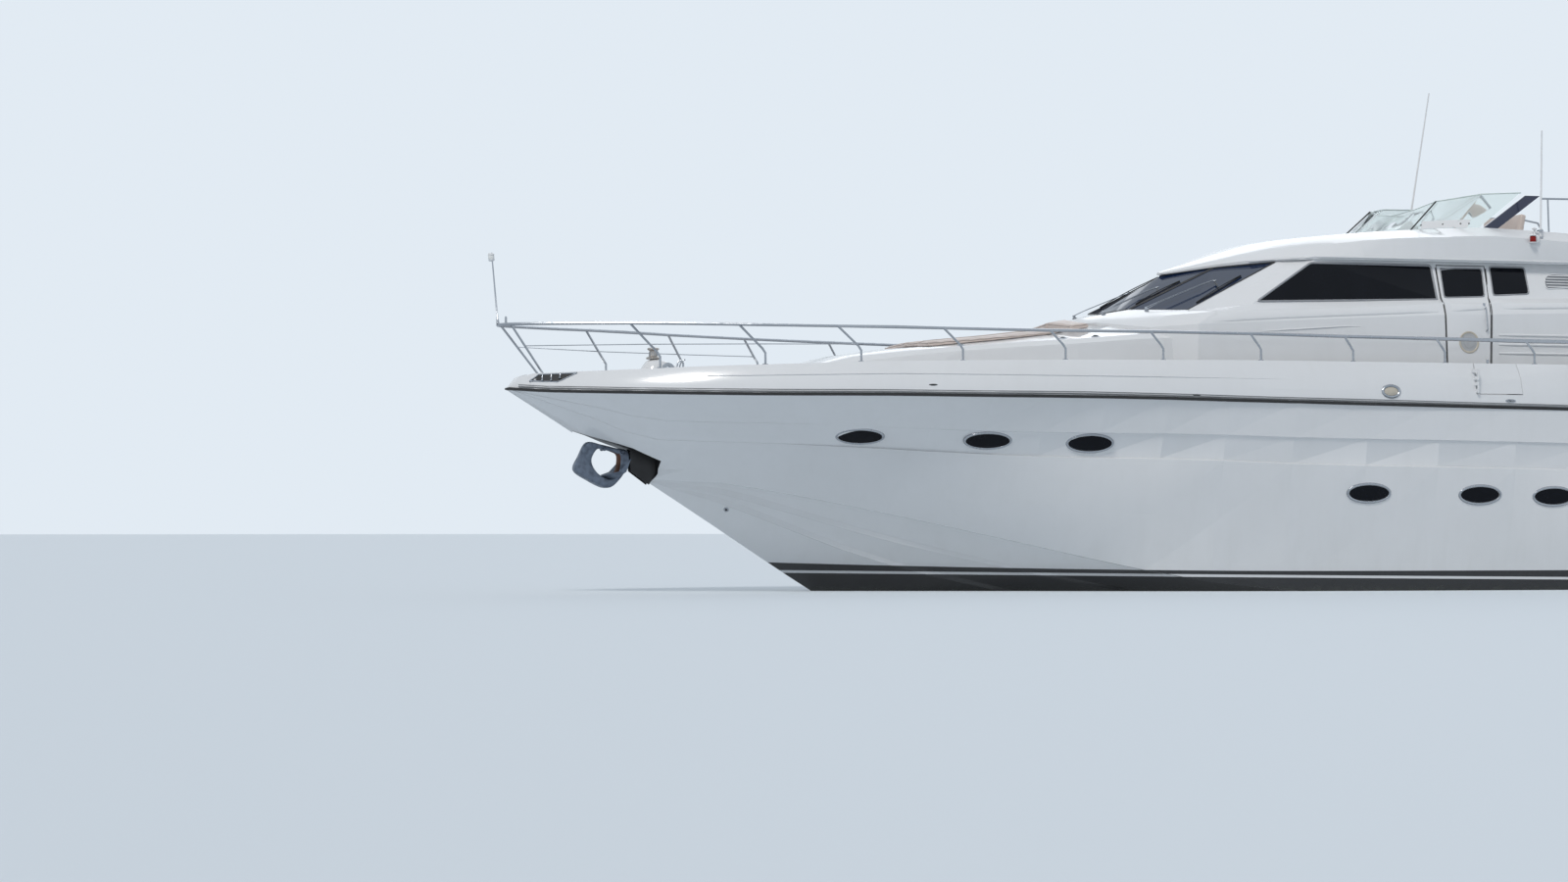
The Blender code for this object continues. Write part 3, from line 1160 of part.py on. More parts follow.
def make_bow_rail():
    rail = fair(RAIL_ROWS)
    marks = [-0.15, -0.13, -0.11, -0.03, 0.05, 0.25, 0.55, 0.95, 1.41, 2.1, 2.73, 3.4, 4.05,
             4.8, 5.45, 6.9, 8.38, 9.84, 11.25, 12.68, 14.1, 17.0, 19.4]
    port = [at(s, *rail(s)) for s in marks]
    end_b, end_z = cap_seat(RAIL_END, RAIL_RADIUS)
    port += [at(RAIL_END - 0.12, end_b - 0.02, 3.48), at(RAIL_END - 0.03, end_b - 0.01, 3.44),
             at(RAIL_END, end_b, 3.35), at(RAIL_END, end_b, end_z)]
    path = port[::-1] + [Vector((p.x, -p.y, p.z)) for p in port[1:]]
    bm = bmesh.new()
    tube(bm, path, RAIL_RADIUS, sides=8)
    body = solid("bow_rail", bm, "stainless", smooth=True)
    parts = []
    d = STANCHION
    rake = straight(RAKE_ROWS)
    for sign in (1, -1):
        foot_s, foot_b = PULPIT_LEG["foot"]
        foot_z = DECK(foot_s) + GAP
        foot = at(foot_s, sign * foot_b, foot_z + 0.003)
        head_b, head_z = rail(PULPIT_LEG["head_s"])
        head = at(PULPIT_LEG["head_s"], sign * head_b, head_z)
        wire = [mix(foot, head, (GUARD_WIRE["z"] - foot.z) / (head.z - foot.z))]
        feet = [([foot, foot + Vector((0, 0, 0.03)), head], foot_s, foot_b, foot_z)]
        for s in STANCHIONS:
            cap_b, cap_z = cap_seat(s, d["flange"])
            knee = cap_z + d["upright"]
            head_s = s - rake(s)
            head_b, head_z = rail(head_s)
            feet.append(([at(s, sign * cap_b, cap_z + 0.003), at(s, sign * cap_b, knee),
                          at(s - 0.04, sign * cap_b, knee + 0.06),
                          at(head_s, sign * head_b, head_z)], s, cap_b, cap_z))
            if s <= GUARD_WIRE["end"]:
                share = (GUARD_WIRE["z"] - knee - 0.06) / (head_z - knee - 0.06)
                wire.append(at(mix(s - 0.04, head_s, share), sign * mix(cap_b, head_b, share),
                               GUARD_WIRE["z"]))
        for leg, s, b, z in feet:
            bm = bmesh.new()
            tube(bm, leg, d["radius"], sides=5)
            parts.append(tool("stanchion", bm))
            bm = bmesh.new()
            turned(bm, [(0, d["flange"]), (0.008, d["flange"]), (0.014, d["radius"] * 1.3)],
                   at(s, sign * b, z), (0, 0, 1), 8)
            parts.append(tool("flange", bm))
        bm = bmesh.new()
        tube(bm, wire, GUARD_WIRE["radius"], sides=4)
        parts.append(tool("guard wire", bm))
    welded(body, parts)
    d = JACKSTAFF
    bm = bmesh.new()
    foot = at(d["foot"][0], 0, d["foot"][1] + RAIL_RADIUS - GAP)
    head = at(d["head"][0], 0, d["head"][1])
    tube(bm, [foot, mix(foot, head, 0.06), mix(foot, head, 0.065), head], d["radius"] * 1.5,
         8, d["radius"] * 0.6)
    solid("jackstaff", bm, "stainless", smooth=True)


def make_foredeck():
    d = WINDLASS
    z = DECK(0) + GAP
    s0, s1 = d["s"]
    bm = bmesh.new()
    rings = []
    for up, inset in ((z, 0.0), (d["top"] - 0.06, 0.03), (d["top"], 0.09)):
        corners = []
        for s, b, a0 in ((s1 - inset, d["b"] - inset, 0), (s0 + inset, d["b"] - inset, 90),
                         (s0 + inset, -d["b"] + inset, 180), (s1 - inset, -d["b"] + inset, 270)):
            r = 0.10
            cs = s - r if s > (s0 + s1) / 2 else s + r
            cb = b - r if b > 0 else b + r
            for k in range(4):
                a = math.radians(a0 + 30 * k)
                corners.append(at(cs + r * math.cos(a), cb + r * math.sin(a), up))
        rings.append(corners)
    skin(bm, rings)
    solid("windlass", bm, "gelcoat")
    bm = bmesh.new()
    r, h = d["drum_r"], d["drum_h"]
    pivot = at(d["drum_s"], 0, d["top"] + GAP)
    turned(bm, [(0, r), (0.02, r), (0.04, r * 0.62), (h * 0.7, r * 0.55), (h * 0.85, r * 0.85),
                (h * 0.95, r * 0.8), (h, r * 0.5)], pivot, (0, 0, 1), 14)
    solid("capstan", bm, "stainless", pivot, smooth=True)

    # The anchor: a claw in one loop, its flukes spread at the crown, its shank in the pocket.
    bm = bmesh.new()
    rings = []
    for inner, sign in ((False, -1), (False, 1), (True, 1), (True, -1), (False, -1)):
        rings.append([at(row[2], sign * row[4], row[3]) if inner else at(row[0], sign * row[4], row[1])
                      for row in ANCHOR_LOOP])
    skin(bm, rings, caps=False)
    anchor = solid("anchor", bm, "stainless")
    bm = bmesh.new()
    middle, edge = ANCHOR_FLUKE
    skin(bm, [[at(s, b, z) for s, z in row[1:]]
              for row, b in ((edge, -edge[0]), (middle, 0.0), (edge, edge[0]))])
    fluke = tool("fluke", bm)
    bm = bmesh.new()
    shank = [at(s, 0, z) for s, z in ANCHOR_SHANK["path"]]
    shank.append(at(ANCHOR_POCKET[1][0] - GAP, 0, ANCHOR_SHANK["path"][-1][1]))
    tube(bm, shank, ANCHOR_SHANK["radius"], sides=8)
    joined(anchor, [fluke, tool("shank", bm)])


def make_coachroof():
    bm = bmesh.new()
    stations = [s for s in STATIONS if 4.0 <= s <= 9.4]
    skin(bm, [coachroof_section(s) for s in stations])
    roof = solid("coachroof", bm, "gelcoat")
    combine(roof, house_block("house clearance", -GAP * 2))
    for name, d, rise in (("foredeck_sunpad", SUNPAD, None), ("sunpad_backrest", BACKREST, None)):
        s0, s1 = d["s"]
        marks = [s0] + [s for s in STATIONS if s0 < s < s1] + [s1]
        rings = []
        for s in marks:
            edge_b, edge_z, crown_z = chord(COACHROOF, s)
            low = crown_z - 0.10
            top = crown_z + (d["thick"] if "thick" in d else d["rise"])
            b = min(d["b"], edge_b - 0.16)
            side_top = mix(edge_z, crown_z, 0.55) + (top - crown_z)
            rings.append(both_sides([at(s, 0, low), at(s, b, low), at(s, b, side_top - 0.03),
                                     at(s, b - 0.04, side_top), at(s, 0, top)]))
        bm = bmesh.new()
        skin(bm, rings)
        pad = solid(name, bm, "cushion")
        bm = bmesh.new()
        skin(bm, [[p + Vector((0, 0, GAP)) for p in coachroof_section(s)] for s in stations])
        combine(pad, tool(name + " seat", bm))


# Underwater and aft.
def make_running_gear(hull):
    (s0, z0), (s1, z1) = SHAFT["inner"], SHAFT["outer"]
    ahead = (shaft_point(0, 0) - shaft_point(1, 0)).normalized()
    p = PROPELLER
    for side, sign in SIDES:
        b = sign * SHAFT["b"]
        inner, outer = shaft_point(0, b), shaft_point(1, b)
        bm = bmesh.new()
        n, r = p["hub"], SHAFT["radius"]
        reach = (inner - outer).length
        hub = p["length"]
        turned(bm, [(-0.06, 0.02), (-0.03, r), (0.0, n * 0.7), (hub * 0.5, n), (hub, n * 0.75),
                    (hub + 0.012, r), (reach, r)], outer, ahead, 12)
        prop = solid("propeller_" + side, bm, "bronze", outer, smooth=True)
        disc = outer + ahead * hub * 0.5
        upright = ahead.orthogonal().normalized()
        parts = []
        for k in range(p["blades"]):
            a = 2 * math.pi * k / p["blades"] + 0.21 * sign
            out = Matrix.Rotation(a, 3, ahead) @ upright
            around = ahead.cross(out)
            rings = []
            for share, chord_len, pitch, skew, thick in BLADE_ROWS:
                t = math.radians(pitch)
                chord_dir = (around * math.cos(t) * sign + ahead * math.sin(t)).normalized()
                normal = out.cross(chord_dir)
                middle = disc + out * p["radius"] * share - chord_dir * skew
                half = chord_len / 2
                rings.append([middle - chord_dir * half, middle + normal * thick,
                              middle + chord_dir * half, middle - normal * thick])
            bm = bmesh.new()
            skin(bm, rings)
            parts.append(tool("blade", bm))
        joined(prop, parts)

        d = RUDDER
        b = sign * d["b"]
        hull_z = bottom_at(d["s"], d["b"])
        boss_z = hull_z - 0.05
        bm = bmesh.new()
        turned(bm, [(0, 0.07), (0.3, 0.07)], at(d["s"], b, boss_z), (0, 0, 1), 12)
        combine(hull, tool("rudder boss " + side, bm), "UNION")
        bm = bmesh.new()
        top = hull_z - 0.12
        foil = ((1.0, 0.0), (0.55, 0.45), (0.1, 0.5), (-0.75, 0.3), (-1.0, 0.0),
                (-0.75, -0.3), (0.1, -0.5), (0.55, -0.45))
        rings = []
        for z, scale in ((top, 1.0), (mix(top, d["foot_z"], 0.75), 0.9), (d["foot_z"], 0.7)):
            rings.append([at(d["s"], b, z)
                          + Vector(((d["ahead"] if x > 0 else d["aft"]) * x * scale,
                                    y * d["thick"] * scale, 0)) for x, y in foil])
        skin(bm, rings)
        rudder = solid("rudder_" + side, bm, "bronze", at(d["s"], b, boss_z - GAP))
        bm = bmesh.new()
        turned(bm, [(0, d["stock"]), (boss_z - GAP - top + 0.1, d["stock"])],
               at(d["s"], b, top - 0.1), (0, 0, 1), 12)
        combine(rudder, tool("rudder stock " + side, bm), "UNION")

        d = TAB
        half = d["thick"] / 2
        ends = []
        for tab_b in d["b"]:
            z = bottom_at(TRANSOM, tab_b) + 0.03
            ends.append(at(TRANSOM + half + GAP, sign * tab_b, z))
        rings = []
        for end in ends:
            ring = [end + Vector((-d["length"], 0, half)), end + Vector((-d["length"], 0, -half))]
            for k in range(7):
                a = -math.pi / 2 + math.pi * k / 6
                ring.append(end + Vector((half * math.cos(a), 0, half * math.sin(a))))
            rings.append(ring)
        bm = bmesh.new()
        skin(bm, rings)
        solid("trim_tab_" + side, bm, "stainless", mix(ends[0], ends[1], 0.5))


def make_stern():
    d = PLATFORM
    bm = bmesh.new()
    outline = []
    r = d["corner"]
    for sign in (1, -1):
        arc = []
        for k in range(7):
            a = math.pi / 2 * k / 6
            arc.append((d["end"] - r + r * math.sin(a), sign * (d["b"] - r + r * math.cos(a))))
        outline += arc if sign == 1 else arc[::-1]
    outline = [(TRANSOM + GAP, d["b"])] + outline + [(TRANSOM + GAP, -d["b"])]
    rings = []
    for z, inset in ((d["z"][0], 0.03), (d["z"][0] + 0.03, 0.0), (d["z"][1], 0.0)):
        rings.append([at(s if s < TRANSOM + 0.1 else s - inset, b, z) for s, b in outline])
    skin(bm, rings)
    solid("swim_platform", bm, "gelcoat")

    half = LID_THICK / 2
    top = GARAGE["z"][1] + 0.08
    foot = GARAGE["z"][0] - 0.06 + SEAM
    hinge_z = top - half - GAP
    hinge_s = TRANSOM - half
    bm = bmesh.new()
    outline = [(hinge_s - half, foot), (hinge_s + half, foot)]
    for k in range(9):
        a = math.pi * k / 8
        outline.append((hinge_s + half * math.cos(a), hinge_z + half * math.sin(a)))
    width = GARAGE["b"] + 0.09 - SEAM
    slab(bm, outline, -width, width)
    solid("garage_lid", bm, "gelcoat", at(hinge_s, 0, hinge_z))

    z0, z1 = SHEER(DECK_END)[1] + GAP, DECK(DECK_END)
    bm = bmesh.new()
    b = STAIR["b"][0] - 0.01
    rings = []
    for s, top_z in ((DECK_END + GAP, z1), (22.4, z1), (22.75, z1 - 0.05), (22.86, z1 - 0.17)):
        rings.append([at(s, -b, z0), at(s, b, z0), at(s, b, top_z - 0.04), at(s, b - 0.05, top_z),
                      at(s, -b + 0.05, top_z), at(s, -b, top_z - 0.04)])
    skin(bm, rings)
    solid("aft_plinth", bm, "gelcoat")
    bm = bmesh.new()
    brick(bm, (21.25, 22.35), (-1.5, 1.5), (z1 + GAP, z1 + 0.14))
    solid("aft_sunpad", bm, "cushion")
    bm = bmesh.new()
    deck_z = z1 + GAP
    slab(bm, [(20.15, deck_z), (21.15, deck_z), (21.2, deck_z + 0.78), (21.05, deck_z + 0.8),
              (20.86, deck_z + 0.44), (20.15, deck_z + 0.42)], -1.45, 1.45)
    solid("cockpit_sofa", bm, "cushion")


def main():
    for old in list(bpy.data.objects):
        bpy.data.objects.remove(old, do_unlink=True)
    hull = make_hull()
    make_engines()
    deck = make_deck()
    make_rub_rail()
    make_bulwarks()
    make_coachroof()
    make_foredeck()
    make_locker(deck)
    make_bow_rail()
    make_aft_door(make_house())
    make_flybridge()
    make_running_gear(hull)
    make_stern()


main()
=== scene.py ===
"""Dresses a flybridge motor yacht: hull stripes, portholes, deck gear, glazing, cushions and rigging."""

import json
import math

import bmesh
import bpy
from bpy.props import FloatProperty, FloatVectorProperty, IntProperty, PointerProperty
from mathutils import Matrix, Vector
from mathutils.bvhtree import BVHTree

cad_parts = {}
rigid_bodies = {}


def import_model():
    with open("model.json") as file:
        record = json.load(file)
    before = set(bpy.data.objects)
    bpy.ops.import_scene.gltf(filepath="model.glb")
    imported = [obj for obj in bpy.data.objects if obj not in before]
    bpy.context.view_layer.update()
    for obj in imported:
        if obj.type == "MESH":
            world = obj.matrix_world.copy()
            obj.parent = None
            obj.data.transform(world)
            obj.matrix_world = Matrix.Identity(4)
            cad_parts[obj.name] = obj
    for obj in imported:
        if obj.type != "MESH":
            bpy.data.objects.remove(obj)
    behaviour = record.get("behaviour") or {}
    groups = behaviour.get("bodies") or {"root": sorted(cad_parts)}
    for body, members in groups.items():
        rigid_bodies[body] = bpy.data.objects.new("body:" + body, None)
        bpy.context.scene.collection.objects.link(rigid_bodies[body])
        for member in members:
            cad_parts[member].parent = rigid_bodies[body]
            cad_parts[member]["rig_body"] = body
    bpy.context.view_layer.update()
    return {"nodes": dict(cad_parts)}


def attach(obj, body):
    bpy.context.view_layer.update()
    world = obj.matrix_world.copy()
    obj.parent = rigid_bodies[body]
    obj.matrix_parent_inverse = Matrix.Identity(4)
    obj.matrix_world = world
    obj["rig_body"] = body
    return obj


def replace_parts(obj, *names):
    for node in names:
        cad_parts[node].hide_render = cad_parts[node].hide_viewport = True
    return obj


bl_info = {
    "name": "Flybridge Yacht Dressing",
    "version": (1, 0, 0),
    "blender": (4, 5, 0),
    "location": "View3D > Sidebar > Yacht",
    "description": "Finishes and fits out a planing motor yacht",
    "category": "Object",
}

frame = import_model()
NODES = frame["nodes"]
SIDES = (("port", 1), ("stbd", -1))
BOW = 12.5              # X of the stem head
UP = (0, 0, 1)
ASTERN = (-1, 0, 0)
ATHWART = (0, 1, 0)
DECK_TOP = 2.931        # height of the foredeck beside the windlass
PLATFORM_TOP = 0.475    # height of the fittings on the swim platform
CLEAR_ABOVE = 20.0      # where rays start over the boat
CLEAR_ABEAM = 9.0       # where rays start beside it


def at(s, b, z):
    """A point from its distance aft of the stem head, its half-breadth to port and its height."""
    return Vector((BOW - s, b, z))


def mix(a, b, t):
    return a + (b - a) * t


def table(rows):
    """A piecewise linear reading of rows (position, value)."""
    def read(s):
        if s <= rows[0][0]:
            return rows[0][1]
        for low, high in zip(rows, rows[1:]):
            if s <= high[0]:
                return mix(low[1], high[1], (s - low[0]) / (high[0] - low[0]))
        return rows[-1][1]
    return read


# Mesh tools

def link_object(name, data):
    thing = bpy.data.objects.new(name, data)
    bpy.context.scene.collection.objects.link(thing)
    return thing


def smooth_object(name, bm, material, angle):
    """Turns a bmesh into a linked object, sharp where its faces meet at more than an angle."""
    mesh = bpy.data.meshes.new(name)
    bm.to_mesh(mesh)
    bm.free()
    mesh.polygons.foreach_set("use_smooth", [True] * len(mesh.polygons))
    mesh.set_sharp_from_angle(angle=math.radians(angle))
    for finish in material if isinstance(material, (list, tuple)) else [material]:
        mesh.materials.append(MATERIALS[finish])
    return link_object(name, mesh)


def as_piece(name, bm, material, body="boat", angle=35.0):
    """Turns a bmesh into a finished piece that rides on a body."""
    bmesh.ops.remove_doubles(bm, verts=bm.verts, dist=1e-6)
    bmesh.ops.recalc_face_normals(bm, faces=bm.faces)
    piece = smooth_object(name, bm, material, angle)
    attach(piece, body)
    return piece


def meshes(count):
    return [bmesh.new() for _ in range(count)]


def move(bm, verts, matrix):
    bmesh.ops.transform(bm, matrix=matrix, verts=verts)


def turn_to(axis, spin=0.0):
    """The rotation that takes +Z to an axis."""
    turn = Vector(axis).normalized().to_track_quat("Z", "Y").to_matrix().to_4x4()
    return turn @ Matrix.Rotation(spin, 4, "Z")


def axes(x, y, z, origin=(0, 0, 0)):
    """The matrix that takes the world's axes to x, y and z at an origin."""
    turn = Matrix((x.to_4d(), y.to_4d(), z.to_4d(), (0, 0, 0, 1))).transposed()
    turn.translation = origin
    turn[3][0:3] = (0, 0, 0)
    return turn


def around(count, start=0.0):
    """Even angles round a full turn."""
    return [math.tau * (k + start) / count for k in range(count)]


def block(bm, size, place, axis=UP, spin=0.0, round_by=0.004, segments=2):
    """A box with rounded edges."""
    made = bmesh.ops.create_cube(bm, size=1.0)["verts"]
    move(bm, made, Matrix.Diagonal((*size, 1.0)))
    edges = list({e for v in made for e in v.link_edges})
    made = bmesh.ops.bevel(bm, geom=edges, offset=round_by, segments=segments, profile=0.5,
                           affect="EDGES", material=-1)["verts"]
    move(bm, made, Matrix.Translation(place) @ turn_to(axis, spin))


def turning(bm, profile, place, axis=UP, steps=24):
    """A revolved form from (height, radius) points along its axis."""
    verts = [bm.verts.new((r, 0.0, h)) for h, r in profile]
    edges = [bm.edges.new(pair) for pair in zip(verts, verts[1:])]
    old = set(bm.verts) - set(verts)
    bmesh.ops.spin(bm, geom=verts + edges, cent=(0, 0, 0), axis=UP, angle=math.tau, steps=steps, use_merge=True)
    bmesh.ops.remove_doubles(bm, verts=[v for v in bm.verts if v not in old], dist=1e-6)
    made = [v for v in bm.verts if v not in old]
    move(bm, made, Matrix.Translation(place) @ turn_to(axis))


def pipe(bm, points, radius, sides=10, closed=False):
    """A round tube along points, carried without twist and widened a little at bends."""
    points = [Vector(p) for p in points]
    count = len(points)
    rings = []
    up = None
    for k, p in enumerate(points):
        if closed:
            ahead = (points[(k + 1) % count] - points[k - 1]).normalized()
        else:
            ahead = (points[min(k + 1, count - 1)] - points[max(k - 1, 0)]).normalized()
        if up is None:
            up = ahead.orthogonal().normalized()
        up = (up - ahead * up.dot(ahead)).normalized()
        before = p - points[k - 1] if k or closed else None
        after = points[(k + 1) % count] - p if k < count - 1 or closed else None
        wider = 1.0
        if before is not None and after is not None and before.length and after.length:
            wider = 1.0 / max(0.6, math.cos(before.angle(after) / 2))
        ring = bmesh.ops.create_circle(bm, segments=sides, radius=radius * wider)["verts"]
        move(bm, ring, axes(up, ahead.cross(up), ahead, p))
        rings.append(list({e for v in ring for e in v.link_edges}))
    pairs = list(zip(rings, rings[1:]))
    if closed:
        pairs.append((rings[-1], rings[0]))
    for low, high in pairs:
        bmesh.ops.bridge_loops(bm, edges=low + high)
    if not closed:
        for edges in (rings[0], rings[-1]):
            bmesh.ops.contextual_create(bm, geom=edges)


CORNER_REACH = 0.45     # most of a straight that one rounded corner takes


def rounded(points, radius, steps=5):
    """A path with its corners turned into arcs."""
    points = [Vector(p) for p in points]
    path = [points[0]]
    for a, b, c in zip(points, points[1:], points[2:]):
        reach = min(radius, (b - a).length * CORNER_REACH, (c - b).length * CORNER_REACH)
        start = b + (a - b).normalized() * reach
        stop = b + (c - b).normalized() * reach
        for k in range(steps + 1):
            t = k / steps
            path.append(start * (1 - t) ** 2 + b * 2 * t * (1 - t) + stop * t ** 2)
    return path + [points[-1]]


def rounded_loop(loop):
    """A closed path with its corners turned into small arcs."""
    return rounded(loop + loop[:2], 0.05, 4)[4:-2]


def sheet(bm, outline, rise, round_by=0.0):
    """A plate: a flat outline pushed out along a vector."""
    face = bm.faces.new([bm.verts.new(p) for p in outline])
    top = bmesh.ops.extrude_face_region(bm, geom=[face])["geom"]
    new = [v for v in top if isinstance(v, bmesh.types.BMVert)]
    bmesh.ops.translate(bm, vec=Vector(rise), verts=new)
    if round_by:
        rim = [e for e in {e for v in new for e in v.link_edges} if all(v in new for v in e.verts)]
        bmesh.ops.bevel(bm, geom=rim, offset=round_by, segments=2, profile=0.5, affect="EDGES", material=-1)


def skin(bm, rows, closed=False):
    """Joins rows of vertices with equal counts by faces."""
    count = len(rows[0])
    for low, high in zip(rows, rows[1:]):
        for k in range(count if closed else count - 1):
            j = (k + 1) % count
            bm.faces.new((low[k], low[j], high[j], high[k]))


def loft(bm, rings, closed=True, capped=False):
    """Skins a row of rings with equal counts of points."""
    rows = [[bm.verts.new(p) for p in ring] for ring in rings]
    skin(bm, rows, closed)
    if capped:
        bm.faces.new(rows[0][::-1])
        bm.faces.new(rows[-1])


def surface_of(*names):
    """A ray caster over the fixed nodes."""
    verts, faces = [], []
    for name in names:
        mesh = NODES[name].data
        base = len(verts)
        verts += [v.co.copy() for v in mesh.vertices]
        faces += [[base + k for k in p.vertices] for p in mesh.polygons]
    return BVHTree.FromPolygons(verts, faces)


def drop(tree, s, b):
    """The point and normal of the first surface under a place in plan."""
    hit, normal, _, _ = tree.ray_cast(at(s, b, CLEAR_ABOVE), Vector((0, 0, -1)))
    if hit is None:
        raise RuntimeError(f"nothing lies under s={s} b={b}")
    return hit, normal


def side_hit(tree, s, z, sign):
    """The point and outward normal of the side at a station and height."""
    hit, normal, _, _ = tree.ray_cast(at(s, sign * CLEAR_ABEAM, z), Vector((0, -sign, 0)))
    if hit is None:
        raise RuntimeError(f"no side at s={s} z={z}")
    return hit, normal


def off_side(tree, s, z, sign, lift):
    """A point at a distance outside the side."""
    place, normal = side_hit(tree, s, z, sign)
    return place + normal * lift


def merge_flat(bm, angle):
    """Joins a CAD mesh's split points and its faces that meet at less than an angle."""
    bmesh.ops.remove_doubles(bm, verts=bm.verts, dist=2e-5)
    bmesh.ops.dissolve_limit(bm, angle_limit=math.radians(angle), verts=bm.verts, edges=bm.edges)


def dress(node, material, bevel=0.004, angle=35.0, flat=1.0):
    """A merged copy of a CAD node with eased edges, which stands for it."""
    source = NODES[node]
    bm = bmesh.new()
    bm.from_mesh(source.data)
    merge_flat(bm, flat)
    piece = smooth_object(f"{node}_finish", bm, material, angle)
    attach(piece, source["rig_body"])
    if bevel:
        soft = piece.modifiers.new("eased edges", "BEVEL")
        soft.width = bevel
        soft.segments = 2
        soft.limit_method = "ANGLE"
        soft.angle_limit = math.radians(angle)
        soft.use_clamp_overlap = True
        soft.harden_normals = True
    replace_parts(piece, node)
    return piece


# Materials

class Nodes:
    """A short way to write a node tree."""

    def __init__(self, tree):
        self.tree = tree

    def add(self, kind, inputs=None, **settings):
        node = self.tree.nodes.new(kind)
        for key, value in settings.items():
            setattr(node, key, value)
        for key, value in (inputs or {}).items():
            self.feed(node.inputs[key], value)
        return node

    def feed(self, socket, value):
        if isinstance(value, bpy.types.NodeSocket):
            self.tree.links.new(value, socket)
        else:
            socket.default_value = value

    def maths(self, operation, a, b=0.0, c=0.0, clamp=False):
        return self.add("ShaderNodeMath", {0: a, 1: b, 2: c}, operation=operation,
                        use_clamp=clamp).outputs[0]

    def ramp(self, value, low, high, start=0.0, stop=1.0):
        return self.add("ShaderNodeMapRange", {"Value": value, "From Min": low, "From Max": high,
                                               "To Min": start, "To Max": stop}).outputs[0]

    def blend(self, factor, a, b):
        return self.add("ShaderNodeMix", {0: factor, 6: a, 7: b}, data_type="RGBA").outputs[2]

    def noise(self, scale, detail=3.0, rough=0.5, stretch=None):
        return self.add("ShaderNodeTexNoise", {"Vector": self.place(stretch), "Scale": scale, "Detail": detail,
                                               "Roughness": rough}).outputs[0]

    def place(self, stretch=None):
        where = self.add("ShaderNodeTexCoord").outputs["Object"]
        if stretch is None:
            return where
        return self.add("ShaderNodeMapping", {"Vector": where, "Scale": stretch}).outputs[0]


def group(name, inputs, outputs, build):
    """A named node group; build(nodes, in_sockets) returns its output values."""
    tree = bpy.data.node_groups.new(name, "ShaderNodeTree")
    kinds = {"float": "NodeSocketFloat", "color": "NodeSocketColor"}
    for label, kind, value in inputs:
        socket = tree.interface.new_socket(name=label, in_out="INPUT", socket_type=kinds[kind])
        socket.default_value = value
    for label, kind in outputs:
        tree.interface.new_socket(name=label, in_out="OUTPUT", socket_type=kinds[kind])
    nodes = Nodes(tree)
    entry = tree.nodes.new("NodeGroupInput")
    leave = tree.nodes.new("NodeGroupOutput")
    for key, value in build(nodes, entry.outputs).items():
        tree.links.new(value, leave.inputs[key])
    return tree


def weather_group():
    """Faint patches, runs and grime near the waterline, as a mask and a roughness."""
    def build(n, i):
        patches = n.noise(0.9, 4.0, 0.6)
        runs = n.noise(1.0, 3.0, 0.6, stretch=(5.0, 5.0, 0.35))
        low = n.ramp(n.add("ShaderNodeSeparateXYZ", {0: n.place()}).outputs[2], 0.9, 0.15)
        soil = n.maths("MULTIPLY", n.ramp(runs, 0.48, 0.72), n.maths("MULTIPLY_ADD", low, 0.6, 0.4))
        mask = n.maths("MULTIPLY_ADD", n.ramp(patches, 0.35, 0.75), 0.45, n.maths("MULTIPLY", soil, 0.55))
        mask = n.maths("MULTIPLY", mask, i["Amount"], clamp=True)
        rough = n.maths("ADD", i["Roughness"], n.maths("MULTIPLY", mask, 0.25), clamp=True)
        return {"Mask": mask, "Roughness": rough}
    return group("weathering", [("Amount", "float", 0.5), ("Roughness", "float", 0.2)],
                 [("Mask", "float"), ("Roughness", "float")], build)


def grain_group():
    """A fine pebbled height, with pores."""
    def build(n, i):
        cells = n.add("ShaderNodeTexVoronoi", {"Vector": n.place(), "Scale": i["Scale"]},
                      feature="SMOOTH_F1").outputs[0]
        fine = n.add("ShaderNodeTexNoise", {"Vector": n.place(), "Scale": n.maths("MULTIPLY", i["Scale"], 2.0),
                                            "Detail": 3.0}).outputs[0]
        return {"Height": n.maths("MULTIPLY_ADD", fine, 0.4, n.maths("MULTIPLY", cells, 0.6))}
    return group("pebble_grain", [("Scale", "float", 300.0)], [("Height", "float")], build)


